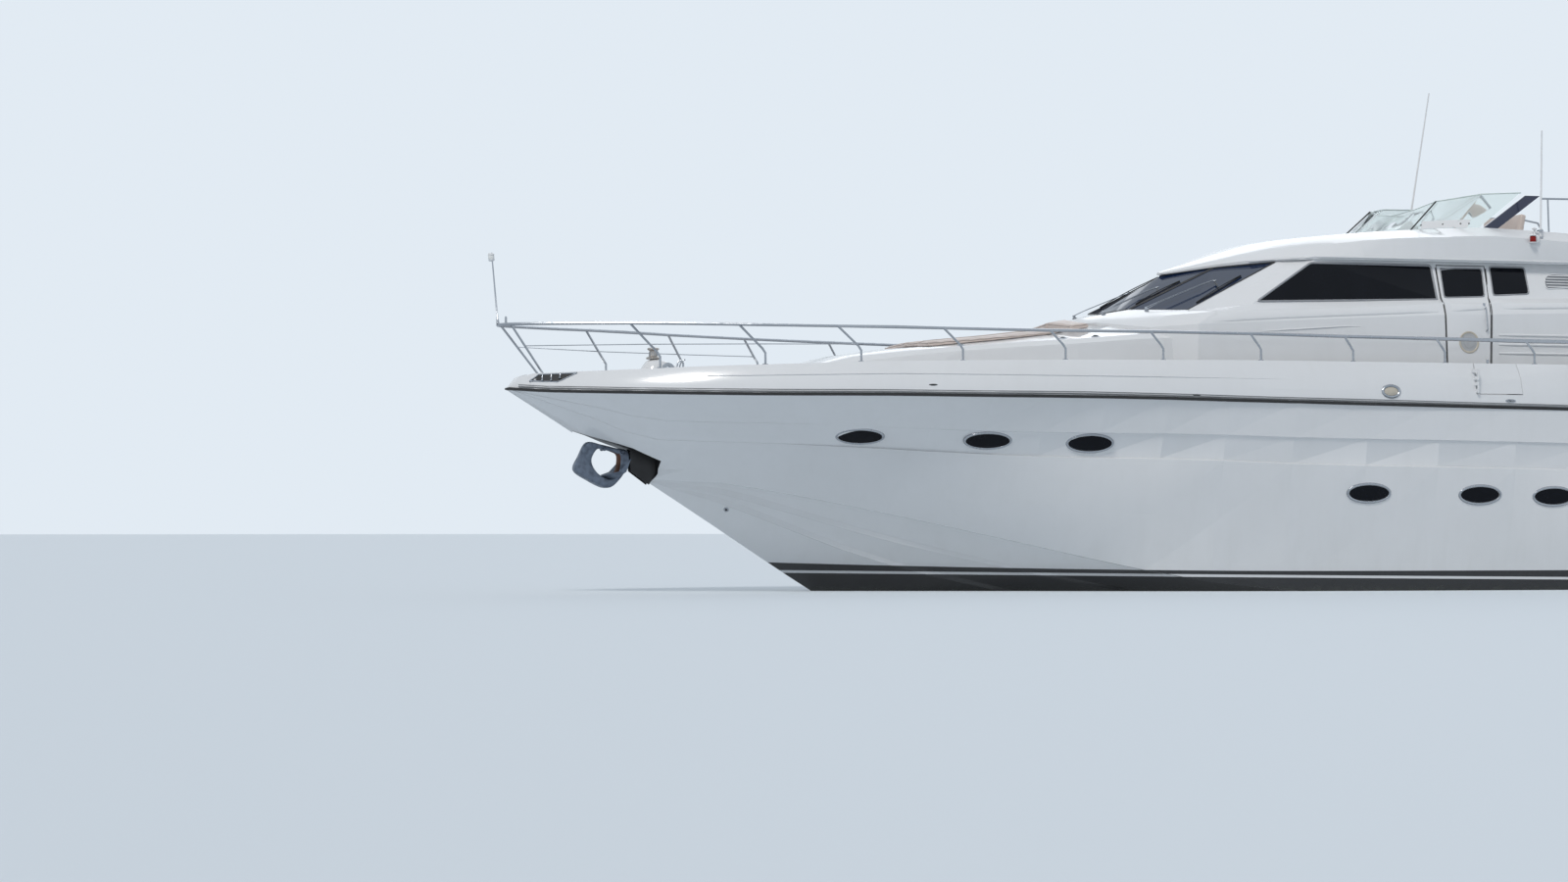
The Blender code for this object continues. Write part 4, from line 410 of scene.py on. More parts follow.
def plank_group():
    """Laid planks along X with dark caulking, butt joints, grain and weathering."""
    plank_length, butt_width = 1.9, 0.0022

    def build(n, i):
        x, y, _ = n.add("ShaderNodeSeparateXYZ", {0: n.place()}).outputs[:3]
        row = n.maths("DIVIDE", y, i["Plank"])
        across = n.maths("FRACT", n.maths("ADD", row, 100.5))
        edge = n.maths("MINIMUM", across, n.maths("SUBTRACT", 1.0, across))
        half = n.maths("DIVIDE", n.maths("MULTIPLY", i["Caulk"], 0.5), i["Plank"])
        number = n.maths("FLOOR", n.maths("ADD", row, 100.5))       # kept above zero
        shift = n.add("ShaderNodeTexWhiteNoise", {"W": number}, noise_dimensions="1D").outputs[0]
        along = n.maths("FRACT", n.maths("ADD", n.maths("DIVIDE", x, plank_length), n.maths("MULTIPLY", shift, 7.0)))
        butt = n.maths("LESS_THAN", along, butt_width)
        seam = n.maths("MAXIMUM", n.maths("LESS_THAN", edge, half), butt)
        grain = n.noise(3.0, 5.0, 0.62, stretch=(1.2, 42.0, 12.0))
        tone = n.maths("MULTIPLY_ADD", shift, 0.35, n.maths("MULTIPLY", grain, 0.65))
        wood = n.blend(tone, i["Dark"], i["Light"])
        grey = n.ramp(n.noise(1.6, 4.0), 0.42, 0.7)
        wood = n.blend(n.maths("MULTIPLY", grey, 0.35), wood, (0.42, 0.39, 0.35, 1))
        return {"Color": n.blend(seam, wood, (0.012, 0.012, 0.013, 1)),
                "Height": n.maths("SUBTRACT", n.maths("MULTIPLY", grain, 0.25), seam),
                "Roughness": n.ramp(grain, 0.2, 0.8, 0.55, 0.75)}
    return group("laid_planks", [("Plank", "float", 0.05), ("Caulk", "float", 0.005),
                                 ("Dark", "color", (0.25, 0.14, 0.07, 1)),
                                 ("Light", "color", (0.48, 0.31, 0.17, 1))],
                 [("Color", "color"), ("Height", "float"), ("Roughness", "float")], build)


def stripe_group():
    """The black boot top with its white line, from the height over the waterline; both rise to the bow."""
    black_start, black_run, black_rise = 1.0, 7.8, 0.12
    line_start, line_slope = -2.3, 0.0098

    def build(n, i):
        x, _, z = n.add("ShaderNodeSeparateXYZ", {0: n.place()}).outputs[:3]
        ahead = n.maths("MAXIMUM", n.maths("DIVIDE", n.maths("SUBTRACT", x, black_start), black_run), 0.0)
        top = n.maths("MULTIPLY_ADD", n.maths("POWER", ahead, 2.0), black_rise, i["Top"])
        black = n.ramp(n.maths("SUBTRACT", top, z), -0.002, 0.002)
        beyond = n.maths("MAXIMUM", n.maths("ADD", x, -line_start), 0.0)
        line = n.maths("MULTIPLY_ADD", beyond, line_slope, i["Line"])
        off = n.maths("ABSOLUTE", n.maths("SUBTRACT", z, line))
        white = n.ramp(n.maths("SUBTRACT", i["Width"], off), -0.0015, 0.0015)
        return {"Black": black, "White": white}
    return group("boot_top", [("Top", "float", 0.28), ("Line", "float", 0.165), ("Width", "float", 0.018)],
                 [("Black", "float"), ("White", "float")], build)


def shade(color, by):
    """A colour with alpha, scaled by one factor or by three."""
    factors = by if isinstance(by, tuple) else (by,) * 3
    return (*[c * f for c, f in zip(color, factors)], 1)


def new_material(name, color, rough=0.4, metal=0.0, coat=0.0, **sockets):
    mat = bpy.data.materials.new(name)
    mat.use_nodes = True
    n = Nodes(mat.node_tree)
    bsdf = mat.node_tree.nodes["Principled BSDF"]
    bsdf.inputs["Base Color"].default_value = (*color, 1.0)
    bsdf.inputs["Roughness"].default_value = rough
    bsdf.inputs["Metallic"].default_value = metal
    bsdf.inputs["Coat Weight"].default_value = coat
    for key, value in sockets.items():
        bsdf.inputs[key.replace("_", " ")].default_value = value
    return mat, n, bsdf


def connect(n, bsdf, **links):
    for key, value in links.items():
        n.tree.links.new(value, bsdf.inputs[key.replace("_", " ")])


def bumped(n, height, depth, distance=0.001):
    return n.add("ShaderNodeBump", {"Height": height, "Strength": depth, "Distance": distance}).outputs[0]


def call(n, tree, **values):
    return n.add("ShaderNodeGroup", values, node_tree=tree).outputs


MATERIALS = {}


def make_materials(look):
    """Every finish of the yacht, by name."""
    weather, grain, planks, boot = weather_group(), grain_group(), plank_group(), stripe_group()

    def gelcoat():
        color = tuple(look.gelcoat)
        mat, n, bsdf = new_material("gelcoat", color, 0.16, coat=0.4, Coat_Roughness=0.06)
        worn = call(n, weather, Amount=0.3, Roughness=0.16)
        soiled = shade(color, (0.80, 0.79, 0.75))
        connect(n, bsdf, Base_Color=n.blend(worn["Mask"], (*color, 1), soiled), Roughness=worn["Roughness"],
                Normal=bumped(n, n.noise(260.0, 2.0), 0.05, 0.0005))
        return mat

    def hull():
        color = tuple(look.gelcoat)
        mat, n, bsdf = new_material("hull_gelcoat", color, 0.14, coat=0.5, Coat_Roughness=0.05)
        worn = call(n, weather, Amount=0.35, Roughness=0.14)
        side = n.blend(worn["Mask"], (*color, 1), shade(color, (0.80, 0.80, 0.77)))
        marks = call(n, boot, Top=0.28, Line=0.165, Width=0.018)
        side = n.blend(marks["Black"], side, (*look.boot_top, 1))
        z = n.add("ShaderNodeSeparateXYZ", {0: n.place()}).outputs[2]
        side = n.blend(marks["White"], side, (*look.stripe, 1))
        scum = n.maths("MULTIPLY", n.ramp(z, 0.10, 0.0), n.ramp(n.noise(7.0, 5.0, 0.65), 0.35, 0.65))
        side = n.blend(n.maths("MULTIPLY", scum, 0.5), side, (0.05, 0.06, 0.045, 1))
        connect(n, bsdf, Base_Color=side, Roughness=n.maths("ADD", worn["Roughness"],
                                                            n.maths("MULTIPLY", scum, 0.3)),
                Normal=bumped(n, n.noise(1.7, 2.0, 0.4), 0.05, 0.02))
        return mat

    def metal(name, color, rough, brushed=0.0, patches=0.25):
        mat, n, bsdf = new_material(name, color, rough, 1.0)
        smear = n.noise(14.0, 4.0, 0.6)
        patchy = n.maths("MULTIPLY", n.ramp(smear, 0.4, 0.75), patches)
        connect(n, bsdf, Base_Color=n.blend(patchy, (*color, 1), shade(color, 0.72)),
                Roughness=n.ramp(smear, 0.3, 0.75, rough * 0.8, rough * 1.8 + 0.05),
                Normal=bumped(n, n.noise(420.0, 2.0), 0.04 + brushed, 0.0004))
        return mat

    def plain(name, color, rough, coat=0.0, depth=0.15, scale=500.0, spread=0.12):
        mat, n, bsdf = new_material(name, color, rough, coat=coat)
        height = call(n, grain, Scale=scale)["Height"]
        tone = n.ramp(n.noise(6.0, 4.0), 0.35, 0.7)
        connect(n, bsdf, Base_Color=n.blend(tone, (*color, 1), shade(color, 1 - spread)),
                Roughness=n.ramp(tone, 0.0, 1.0, rough * 0.9, min(1.0, rough * 1.15)),
                Normal=bumped(n, height, depth, 0.0006))
        return mat

    def glazing(name, color, rough=0.02):
        mat, n, bsdf = new_material(name, color, rough, IOR=1.33, Specular_IOR_Level=0.32)
        film = n.ramp(n.noise(2.3, 5.0, 0.65), 0.4, 0.8)
        hazy = (*[c * 1.8 + 0.004 for c in color], 1)
        connect(n, bsdf, Base_Color=n.blend(n.maths("MULTIPLY", film, 0.35), (*color, 1), hazy),
                Roughness=n.ramp(film, 0.0, 1.0, rough, rough + 0.05))
        return mat

    def teak():
        mat, n, bsdf = new_material("teak_planks", (0.4, 0.26, 0.14), 0.6)
        wood = call(n, planks, Plank=look.plank, Caulk=0.005, Dark=shade(look.teak, 0.6), Light=(*look.teak, 1))
        connect(n, bsdf, Base_Color=wood["Color"], Roughness=wood["Roughness"],
                Normal=bumped(n, wood["Height"], 0.5, 0.0012))
        return mat

    def vinyl(name, color):
        mat, n, bsdf = new_material(name, color, 0.45, Sheen_Weight=0.15)
        height = call(n, grain, Scale=420.0)["Height"]
        wear = n.ramp(n.noise(3.5, 4.0), 0.4, 0.75)
        connect(n, bsdf, Base_Color=n.blend(n.maths("MULTIPLY", wear, 0.6), (*color, 1), shade(color, 0.86)),
                Roughness=n.ramp(wear, 0.0, 1.0, 0.42, 0.55), Normal=bumped(n, height, 0.25, 0.0008))
        return mat

    def nonskid():
        color = tuple(c * 0.95 for c in look.gelcoat)
        mat, n, bsdf = new_material("nonskid_deck", color, 0.5)
        worn = call(n, weather, Amount=0.5, Roughness=0.5)
        cells = n.add("ShaderNodeTexVoronoi", {"Vector": n.place(), "Scale": 110.0}).outputs[0]
        connect(n, bsdf, Base_Color=n.blend(worn["Mask"], (*color, 1), shade(color, 0.82)),
                Roughness=worn["Roughness"], Normal=bumped(n, cells, 0.5, 0.001))
        return mat

    def clear():
        mat, n, bsdf = new_material("wind_screen_acrylic", (0.88, 0.94, 0.92), 0.03, IOR=1.45,
                                    Transmission_Weight=0.92)
        film = n.ramp(n.noise(2.0, 5.0, 0.6), 0.4, 0.8)
        connect(n, bsdf, Roughness=n.ramp(film, 0.0, 1.0, 0.02, 0.10))
        return mat

    MATERIALS.update({
        "gelcoat": gelcoat(), "hull": hull(), "nonskid": nonskid(), "clear": clear(), "teak": teak(),
        "vinyl": vinyl("beige_vinyl", tuple(look.vinyl)),
        "piping": vinyl("piping_vinyl", tuple(c * 0.72 for c in look.vinyl)),
        "windshield": glazing("blue_glass", tuple(look.windshield)),
        "side_glass": glazing("black_glass", tuple(look.side_glass)),
        "red_lens": glazing("red_lens", (0.22, 0.012, 0.010), 0.08),
        "green_lens": glazing("green_lens", (0.01, 0.3, 0.06), 0.08),
        "white_lens": glazing("white_lens", (0.75, 0.76, 0.74), 0.08),
        # colour, roughness, brushing, patches
        "steel": metal("polished_steel", (0.40, 0.42, 0.45), 0.16),
        "aged_steel": metal("aged_steel", (0.42, 0.39, 0.36), 0.3, 0.1, 0.8),
        "bronze": metal("propeller_bronze", (0.42, 0.27, 0.11), 0.32, 0.1, 0.8),
        "anode": metal("zinc_anode", (0.50, 0.51, 0.53), 0.45, 0.1, 0.6),
        "anchor_steel": metal("anchor_steel", (0.16, 0.19, 0.24), 0.38, 0.15, 0.8),
        # colour, roughness, coat, depth and scale of the grain, spread of the tone
        "rust": plain("rust_stain", (0.16, 0.065, 0.03), 0.8, 0.0, 0.5, 260.0, 0.5),
        "black": plain("black_trim", (0.012, 0.012, 0.013), 0.45),
        "rubber": plain("black_rubber", (0.018, 0.018, 0.019), 0.6, 0.0, 0.3),
        "grey_line": plain("grey_line", (0.22, 0.23, 0.24), 0.4),
        "grey_frame": plain("window_frame", (0.30, 0.31, 0.33), 0.35, 0.2),
        "navy": plain("navy_gloss", (0.008, 0.014, 0.05), 0.15, 0.6, 0.02),
        "engine": plain("engine_paint", (0.52, 0.53, 0.54), 0.35, 0.3, 0.1, 90.0),
        "pale_grey": plain("pale_grey_disc", (0.46, 0.47, 0.48), 0.4, 0.2),
        "clear_edge": plain("screen_edge", (0.62, 0.72, 0.70), 0.3, 0.2),
        "cream": plain("cream_gelcoat", (0.58, 0.53, 0.44), 0.35, 0.2)})


# Settings that a user may change

def colour(name, description, *default):
    return FloatVectorProperty(name=name, description=description, subtype="COLOR", size=3, min=0, max=1,
                               default=default)


def length(name, description, low, high, default):
    return FloatProperty(name=name, description=description, unit="LENGTH", min=low, max=high, default=default)


def power(name, description, high, default):
    return FloatProperty(name=name, description=description, min=0, max=high, default=default)


class YachtColours(bpy.types.PropertyGroup):
    gelcoat: colour("Gelcoat", "Colour of hull and superstructure", 0.76, 0.77, 0.78)
    boot_top: colour("Boot top", "Band above the waterline", 0.012, 0.012, 0.014)
    stripe: colour("Stripe", "Thin line inside the boot top", 0.74, 0.75, 0.76)
    windshield: colour("Windshield", "Tint of the front glass", 0.004, 0.014, 0.045)
    side_glass: colour("Side glass", "Tint of the side windows", 0.002, 0.003, 0.006)
    vinyl: colour("Vinyl", "Colour of the cushions", 0.62, 0.53, 0.48)
    teak: colour("Teak", "Colour of the laid decks", 0.44, 0.29, 0.17)
    plank: length("Plank width", "Width of one teak plank", 0.02, 0.2, 0.055)


class YachtFittings(bpy.types.PropertyGroup):
    porthole_length: length("Porthole length", "Glass length of a porthole", 0.2, 1.2, 0.60)
    porthole_height: length("Porthole height", "Glass height of a porthole", 0.1, 0.6, 0.225)
    rim_width: length("Rim width", "Width of a porthole's steel rim", 0.01, 0.08, 0.030)
    cleat_length: length("Cleat length", "Length of a mooring cleat", 0.1, 0.6, 0.34)
    seat_seams: IntProperty(name="Cushion seams", description="Sewn lines across the foredeck pad",
                            min=1, max=8, default=3)


class YachtStage(bpy.types.PropertyGroup):
    lens: FloatProperty(name="Lens", description="Focal length on a 36 mm sensor", unit="CAMERA",
                        min=20, max=300, default=93.4)
    floor: colour("Floor", "Colour of the floor", 0.66, 0.72, 0.77)
    sky_level: power("World level", "Strength of the even light", 3, 0.52)
    key_power: power("Key light", "Strength of the high lamp", 20, 1.45)
    fill_power: power("Fill light", "Strength of the low lamp", 20, 0.35)


# Pieces

class YACHT_OT_materials(bpy.types.Operator):
    """Make every finish"""
    bl_idname = "yacht.materials"
    bl_label = "Finishes"

    def execute(self, context):
        make_materials(context.scene.yacht_colours)
        return {"FINISHED"}


SHELLS = (              # node, bevel, angle of a sharp edge
    ("bulwark_port", 0.008, 24.0), ("bulwark_stbd", 0.008, 24.0), ("deck", 0.008, 20.0), ("coachroof", 0.0, 24.0),
    ("deckhouse", 0.006, 24.0), ("flybridge", 0.010, 24.0))


class YACHT_OT_hull(bpy.types.Operator):
    """Finish the hull shell"""
    bl_idname = "yacht.hull"
    bl_label = "Hull"

    def execute(self, context):
        # The faces lining the anchor pocket take the black finish: painted shade for the pocket's dark inside.
        mark_faces(dress("hull", ["hull", "black"], 0.006, 21.0, 0.5), in_pocket)
        for node, bevel, angle in SHELLS:
            dress(node, "gelcoat", bevel, angle, 0.5)
        return {"FINISHED"}


PAIRED_DRESSES = [
    ("side_door", "gelcoat", 0.004), ("bulwark_gate", "gelcoat", 0.006), ("fly_handrail", "steel", 0.0),
    ("trim_tab", "steel", 0.003), ("propeller", "bronze", 0.0), ("rudder", "bronze", 0.004),
    ("windshield", "windshield", 0.002), ("window_forward", "side_glass", 0.002),
    ("window_middle", "side_glass", 0.002), ("window_saloon", "side_glass", 0.002),
    ("door_glass", "side_glass", 0.002), ("fly_strut", "navy", 0.003), ("engine", "engine", 0.02),
]
PLAIN_DRESSES = [
    ("locker_lid", "nonskid", 0.006), ("fly_console", "gelcoat", 0.012), ("radar_arch", "gelcoat", 0.012),
    ("radar_scanner", "gelcoat", 0.012), ("swim_platform", "gelcoat", 0.012), ("garage_lid", "gelcoat", 0.006),
    ("aft_plinth", "gelcoat", 0.015), ("rub_rail", "rubber", 0.0), ("fly_wheel", "black", 0.0),
    ("fly_aft_rail", "steel", 0.0), ("bow_rail", "steel", 0.0), ("jackstaff", "steel", 0.0),
    ("windshield_centre", "windshield", 0.002), ("saloon_fixed_glass", "side_glass", 0.002),
    ("saloon_door", "side_glass", 0.002), ("fly_screen", "clear", 0.0), ("antenna_tall", "gelcoat", 0.0),
    ("antenna_short", "gelcoat", 0.0),
] + [(f"{node}_{side}", finish, bevel) for node, finish, bevel in PAIRED_DRESSES for side, _ in SIDES]


class YACHT_OT_fixed_parts(bpy.types.Operator):
    """Finish the plain solids with eased edges"""
    bl_idname = "yacht.fixed_parts"
    bl_label = "Fixed parts"

    def execute(self, context):
        for node, material, bevel in PLAIN_DRESSES:
            dress(node, material, bevel)
        return {"FINISHED"}


def ovals(bm, rows, place, normal, sides=40, open_top=False, backed=True):
    """Bridged ellipses (half length, half height, rise along the normal) at a place on a surface."""
    out = Vector(normal).normalized()
    tall = (Vector(UP) - out * Vector(UP).dot(out)).normalized()
    turn = axes(tall.cross(out), tall, out)
    rings = []
    for half_long, half_tall, rise in rows:
        ring = bmesh.ops.create_circle(bm, segments=sides, radius=1.0)["verts"]
        move(bm, ring, Matrix.Translation(place) @ turn @ Matrix.Translation((0, 0, rise))
             @ Matrix.Diagonal((half_long, half_tall, 1, 1)))
        rings.append(list({e for v in ring for e in v.link_edges}))
    for low, high in zip(rings, rings[1:]):
        bmesh.ops.bridge_loops(bm, edges=low + high)
    for ring, wanted in ((rings[0], backed), (rings[-1], not open_top)):
        if wanted:
            bmesh.ops.contextual_create(bm, geom=ring)


PORTHOLES = [(4.43, 2.115), (6.10, 2.06), (7.49, 2.03), (11.58, 1.36), (13.28, 1.34), (14.43, 1.32)]
RIM_PROFILE = ((1.25, -0.012), (1.2, 0.004), (0.95, 0.013), (0.5, 0.016), (0.12, 0.011), (0.0, 0.003))
SCREW_HEAD = [(0.0, 0.0055), (0.002, 0.0055), (0.0035, 0.003), (0.0038, 0.0)]


class YACHT_OT_portholes(bpy.types.Operator):
    """Set the oval portholes with their steel rims into both topsides"""
    bl_idname = "yacht.portholes"
    bl_label = "Portholes"

    def execute(self, context):
        size = context.scene.yacht_fittings
        a, b, rim = size.porthole_length / 2, size.porthole_height / 2, size.rim_width
        hull = surface_of("hull")
        for side, sign in SIDES:
            rims, panes = meshes(2)
            for s, z in PORTHOLES:
                place, normal = side_hit(hull, s, z, sign)
                ovals(rims, [(a + rim * out, b + rim * out, rise) for out, rise in RIM_PROFILE]
                      + [(a - 0.004, b - 0.004, -0.010)], place, normal)
                ovals(panes, [(a - 0.002, b - 0.002, 0.0), (a - 0.004, b - 0.004, 0.005),
                              (a * 0.6, b * 0.6, 0.008), (a * 0.25, b * 0.25, 0.009)], place, normal)
                wide = Vector(UP).cross(normal).normalized()
                tall = normal.cross(wide)
                for angle in around(10, 0.5):
                    spot = place + wide * (a + rim * 0.5) * math.cos(angle)
                    spot += tall * (b + rim * 0.5) * math.sin(angle) + normal * 0.0155
                    turning(rims, SCREW_HEAD, spot, normal, 8)
            as_piece(f"porthole_rims_{side}", rims, "steel")
            as_piece(f"porthole_panes_{side}", panes, "side_glass")
        return {"FINISHED"}


SHEER = table([(0.0, 2.77), (0.41, 2.73), (1.31, 2.70), (2.25, 2.68), (3.24, 2.67), (4.51, 2.67), (5.82, 2.66),
               (7.18, 2.66), (8.59, 2.64), (10.04, 2.61), (11.52, 2.59), (14.59, 2.54), (21.0, 2.44)])


def pane_loop(node, lean):
    """The outer rim of a pane, in order, on the side that looks along lean."""
    bm = bmesh.new()
    bm.from_mesh(NODES[node].data)
    merge_flat(bm, 0.5)
    faces = {f for f in bm.faces if f.normal.dot(lean) > 0.6}
    edges = [e for e in bm.edges if sum(f in faces for f in e.link_faces) == 1]
    links = {}
    for e in edges:
        a, b = e.verts
        links.setdefault(a, []).append(b)
        links.setdefault(b, []).append(a)
    start = here = edges[0].verts[0]
    path, last = [], None
    while not path or here is not start:
        path.append(here.co.copy())
        last, here = here, [v for v in links[here] if v is not last][0]
    bm.free()
    return path


FRAMES = (("window_forward", 0.016), ("window_middle", 0.012), ("window_saloon", 0.014), ("door_glass", 0.011))
GASKETS = [("windshield_centre", (0.6, 0, 0.8)), ("windshield_port", (0.6, 0.3, 0.8)),
           ("windshield_stbd", (0.6, -0.3, 0.8))]


class YACHT_OT_window_frames(bpy.types.Operator):
    """Frame the side windows and seal the windshield panes"""
    bl_idname = "yacht.window_frames"
    bl_label = "Window frames"

    def execute(self, context):
        for side, sign in SIDES:
            lean = Vector((0, sign, 0.2))
            for pane, width in FRAMES:
                bm = bmesh.new()
                loop = rounded_loop(pane_loop(f"{pane}_{side}", lean.normalized()))
                pipe(bm, [p + lean * 0.002 for p in loop], width, 8, closed=True)
                body = "side_door_" + side if pane == "door_glass" else "boat"
                as_piece(f"{pane}_{side}_frame", bm, "grey_frame", body, 50)
        for node, lean in GASKETS:
            bm = bmesh.new()
            pipe(bm, [p - Vector(lean) * 0.001 for p in pane_loop(node, Vector(lean).normalized())], 0.011, 8,
                 closed=True)
            as_piece(f"{node}_seal", bm, "black", angle=50)
        return {"FINISHED"}


WIPERS = [              # foot, head, low end and high end of the blade, as (s, b) on the front
    ((8.96, 1.16), (9.97, 1.26), (9.50, 1.66), (10.26, 1.50)),
    ((8.66, 0.34), (9.42, 0.52), (9.00, 0.70), (9.72, 0.62)),
    ((8.62, -0.62), (9.40, -0.42), (9.06, -0.70), (9.74, -0.16)),
]


class YACHT_OT_wipers(bpy.types.Operator):
    """Lay the twin-armed wipers on the windshield"""
    bl_idname = "yacht.wipers"
    bl_label = "Wipers"

    def execute(self, context):
        front = surface_of("windshield_centre", "windshield_port", "windshield_stbd", "deckhouse", "coachroof")
        arms, rubber = meshes(2)
        for foot, head, low, high in WIPERS:
            base, up = drop(front, *foot)
            tip, normal = drop(front, *head)
            turning(arms, [(0.0, 0.034), (0.012, 0.034), (0.02, 0.022), (0.045, 0.020), (0.052, 0.012),
                           (0.055, 0.0)], base, up, 16)
            side = (tip - base).normalized().cross(normal)
            lift = normal * 0.055
            for shift in (-0.020, 0.020):
                beside = side * shift
                turning(arms, [(0.0, 0.014), (0.05, 0.014), (0.056, 0.0)], base + beside * 2, up, 10)
                pipe(arms, rounded([base + up * 0.045 + beside * 2, mix(base, tip, 0.2) + lift + beside,
                                    mix(base, tip, 0.85) + lift + beside * 0.8,
                                    tip + normal * 0.045 + beside * 0.5], 0.08), 0.0055, 6)
            a, _ = drop(front, *low)
            b, _ = drop(front, *high)
            middle = mix(a, b, 0.5)
            block(arms, (0.05, 0.02, 0.016), mix(tip, middle, 0.15) + normal * 0.048, normal, 0.6, 0.004)
            pipe(rubber, [tip + normal * 0.047, middle + normal * 0.034], 0.008, 6)
            pipe(rubber, [mix(a, b, t) + normal * (0.020 + 0.016 * math.sin(t * math.pi))
                          for t in (0, 0.15, 0.35, 0.5, 0.65, 0.85, 1)], 0.007, 6)
            pipe(rubber, [mix(a, b, t) + normal * 0.010 for t in (0, 0.25, 0.5, 0.75, 1)], 0.009, 6)
        as_piece("wiper_arms", arms, "steel", angle=50)
        as_piece("wiper_blades", rubber, "black", angle=50)
        return {"FINISHED"}


def mark_faces(piece, inside):
    """Gives the second finish to the faces whose middle and normal pass a test."""
    for face in piece.data.polygons:
        if inside(face.center, face.normal):
            face.material_index = 1


POCKET_EDGES = [((0.90, 2.205), (2.08, 1.84)), ((2.08, 1.84), (2.08, 1.62)), ((2.08, 1.62), (1.98, 1.46)),
                ((1.98, 1.46), (1.80, 1.30))]


def in_pocket(centre, normal):
    """Whether a face of the hull lines the anchor pocket, where its black finish is painted shade."""
    s, b, z = BOW - centre.x, centre.y, centre.z
    if not (0.88 < s < 2.09 and 1.28 < z < 2.22 and abs(b) < 0.302):
        return False
    if abs(normal.y) > 0.99 and abs(abs(b) - 0.30) < 0.003:
        return True
    for (s0, z0), (s1, z1) in POCKET_EDGES:
        long = math.hypot(s1 - s0, z1 - z0)
        off = ((s - s0) * (z1 - z0) - (z - z0) * (s1 - s0)) / long
        if abs(off) < 0.003 and abs(normal.y) < 0.2:
            return True
    return False


def conform(bm, tree, rows, lift, sign, columns=8):
    """A skin over the side between the fore and after ends, (s, z), of its rows."""
    loft(bm, [[off_side(tree, mix(s0, s1, k / columns), mix(z0, z1, k / columns), sign, lift)
               for k in range(columns + 1)] for (s0, z0), (s1, z1) in rows], closed=False)


class YACHT_OT_rub_lines(bpy.types.Operator):
    """Run the grey lip above the black rub rail"""
    bl_idname = "yacht.rub_lines"
    bl_label = "Rub rail lip"

    def execute(self, context):
        marks = [0.1 + 0.15 * k for k in range(8)] + [1.3 + 0.3 * k for k in range(66)]
        for side, sign in SIDES:
            bulwark = surface_of("bulwark_" + side)
            bm = bmesh.new()
            for up, radius in ((0.036, 0.011), (0.062, 0.006)):
                pipe(bm, [off_side(bulwark, s, SHEER(s) + up, sign, radius * 0.25) for s in marks], radius, 6)
            as_piece(f"rub_lip_{side}", bm, "grey_line", angle=60)
        return {"FINISHED"}


NOTCH = (((0.22, 2.868), (0.53, 2.852)), ((0.27, 2.90), (0.62, 2.895)), ((0.33, 2.955), (0.77, 2.968)))
NOTCH_RIM = ((0.22, 2.868), (0.38, 2.858), (0.53, 2.852), (0.62, 2.895), (0.70, 2.935), (0.77, 2.968),
             (0.55, 2.962), (0.33, 2.955), (0.27, 2.905))
THROUGH_HULLS = ((3.05, 1.13), (16.1, 0.62), (17.3, 0.60), (19.4, 0.60), (19.65, 0.60))
ROOF_VENTS = ((7.50, 1.60), (7.90, 1.80), (6.10, 1.30))


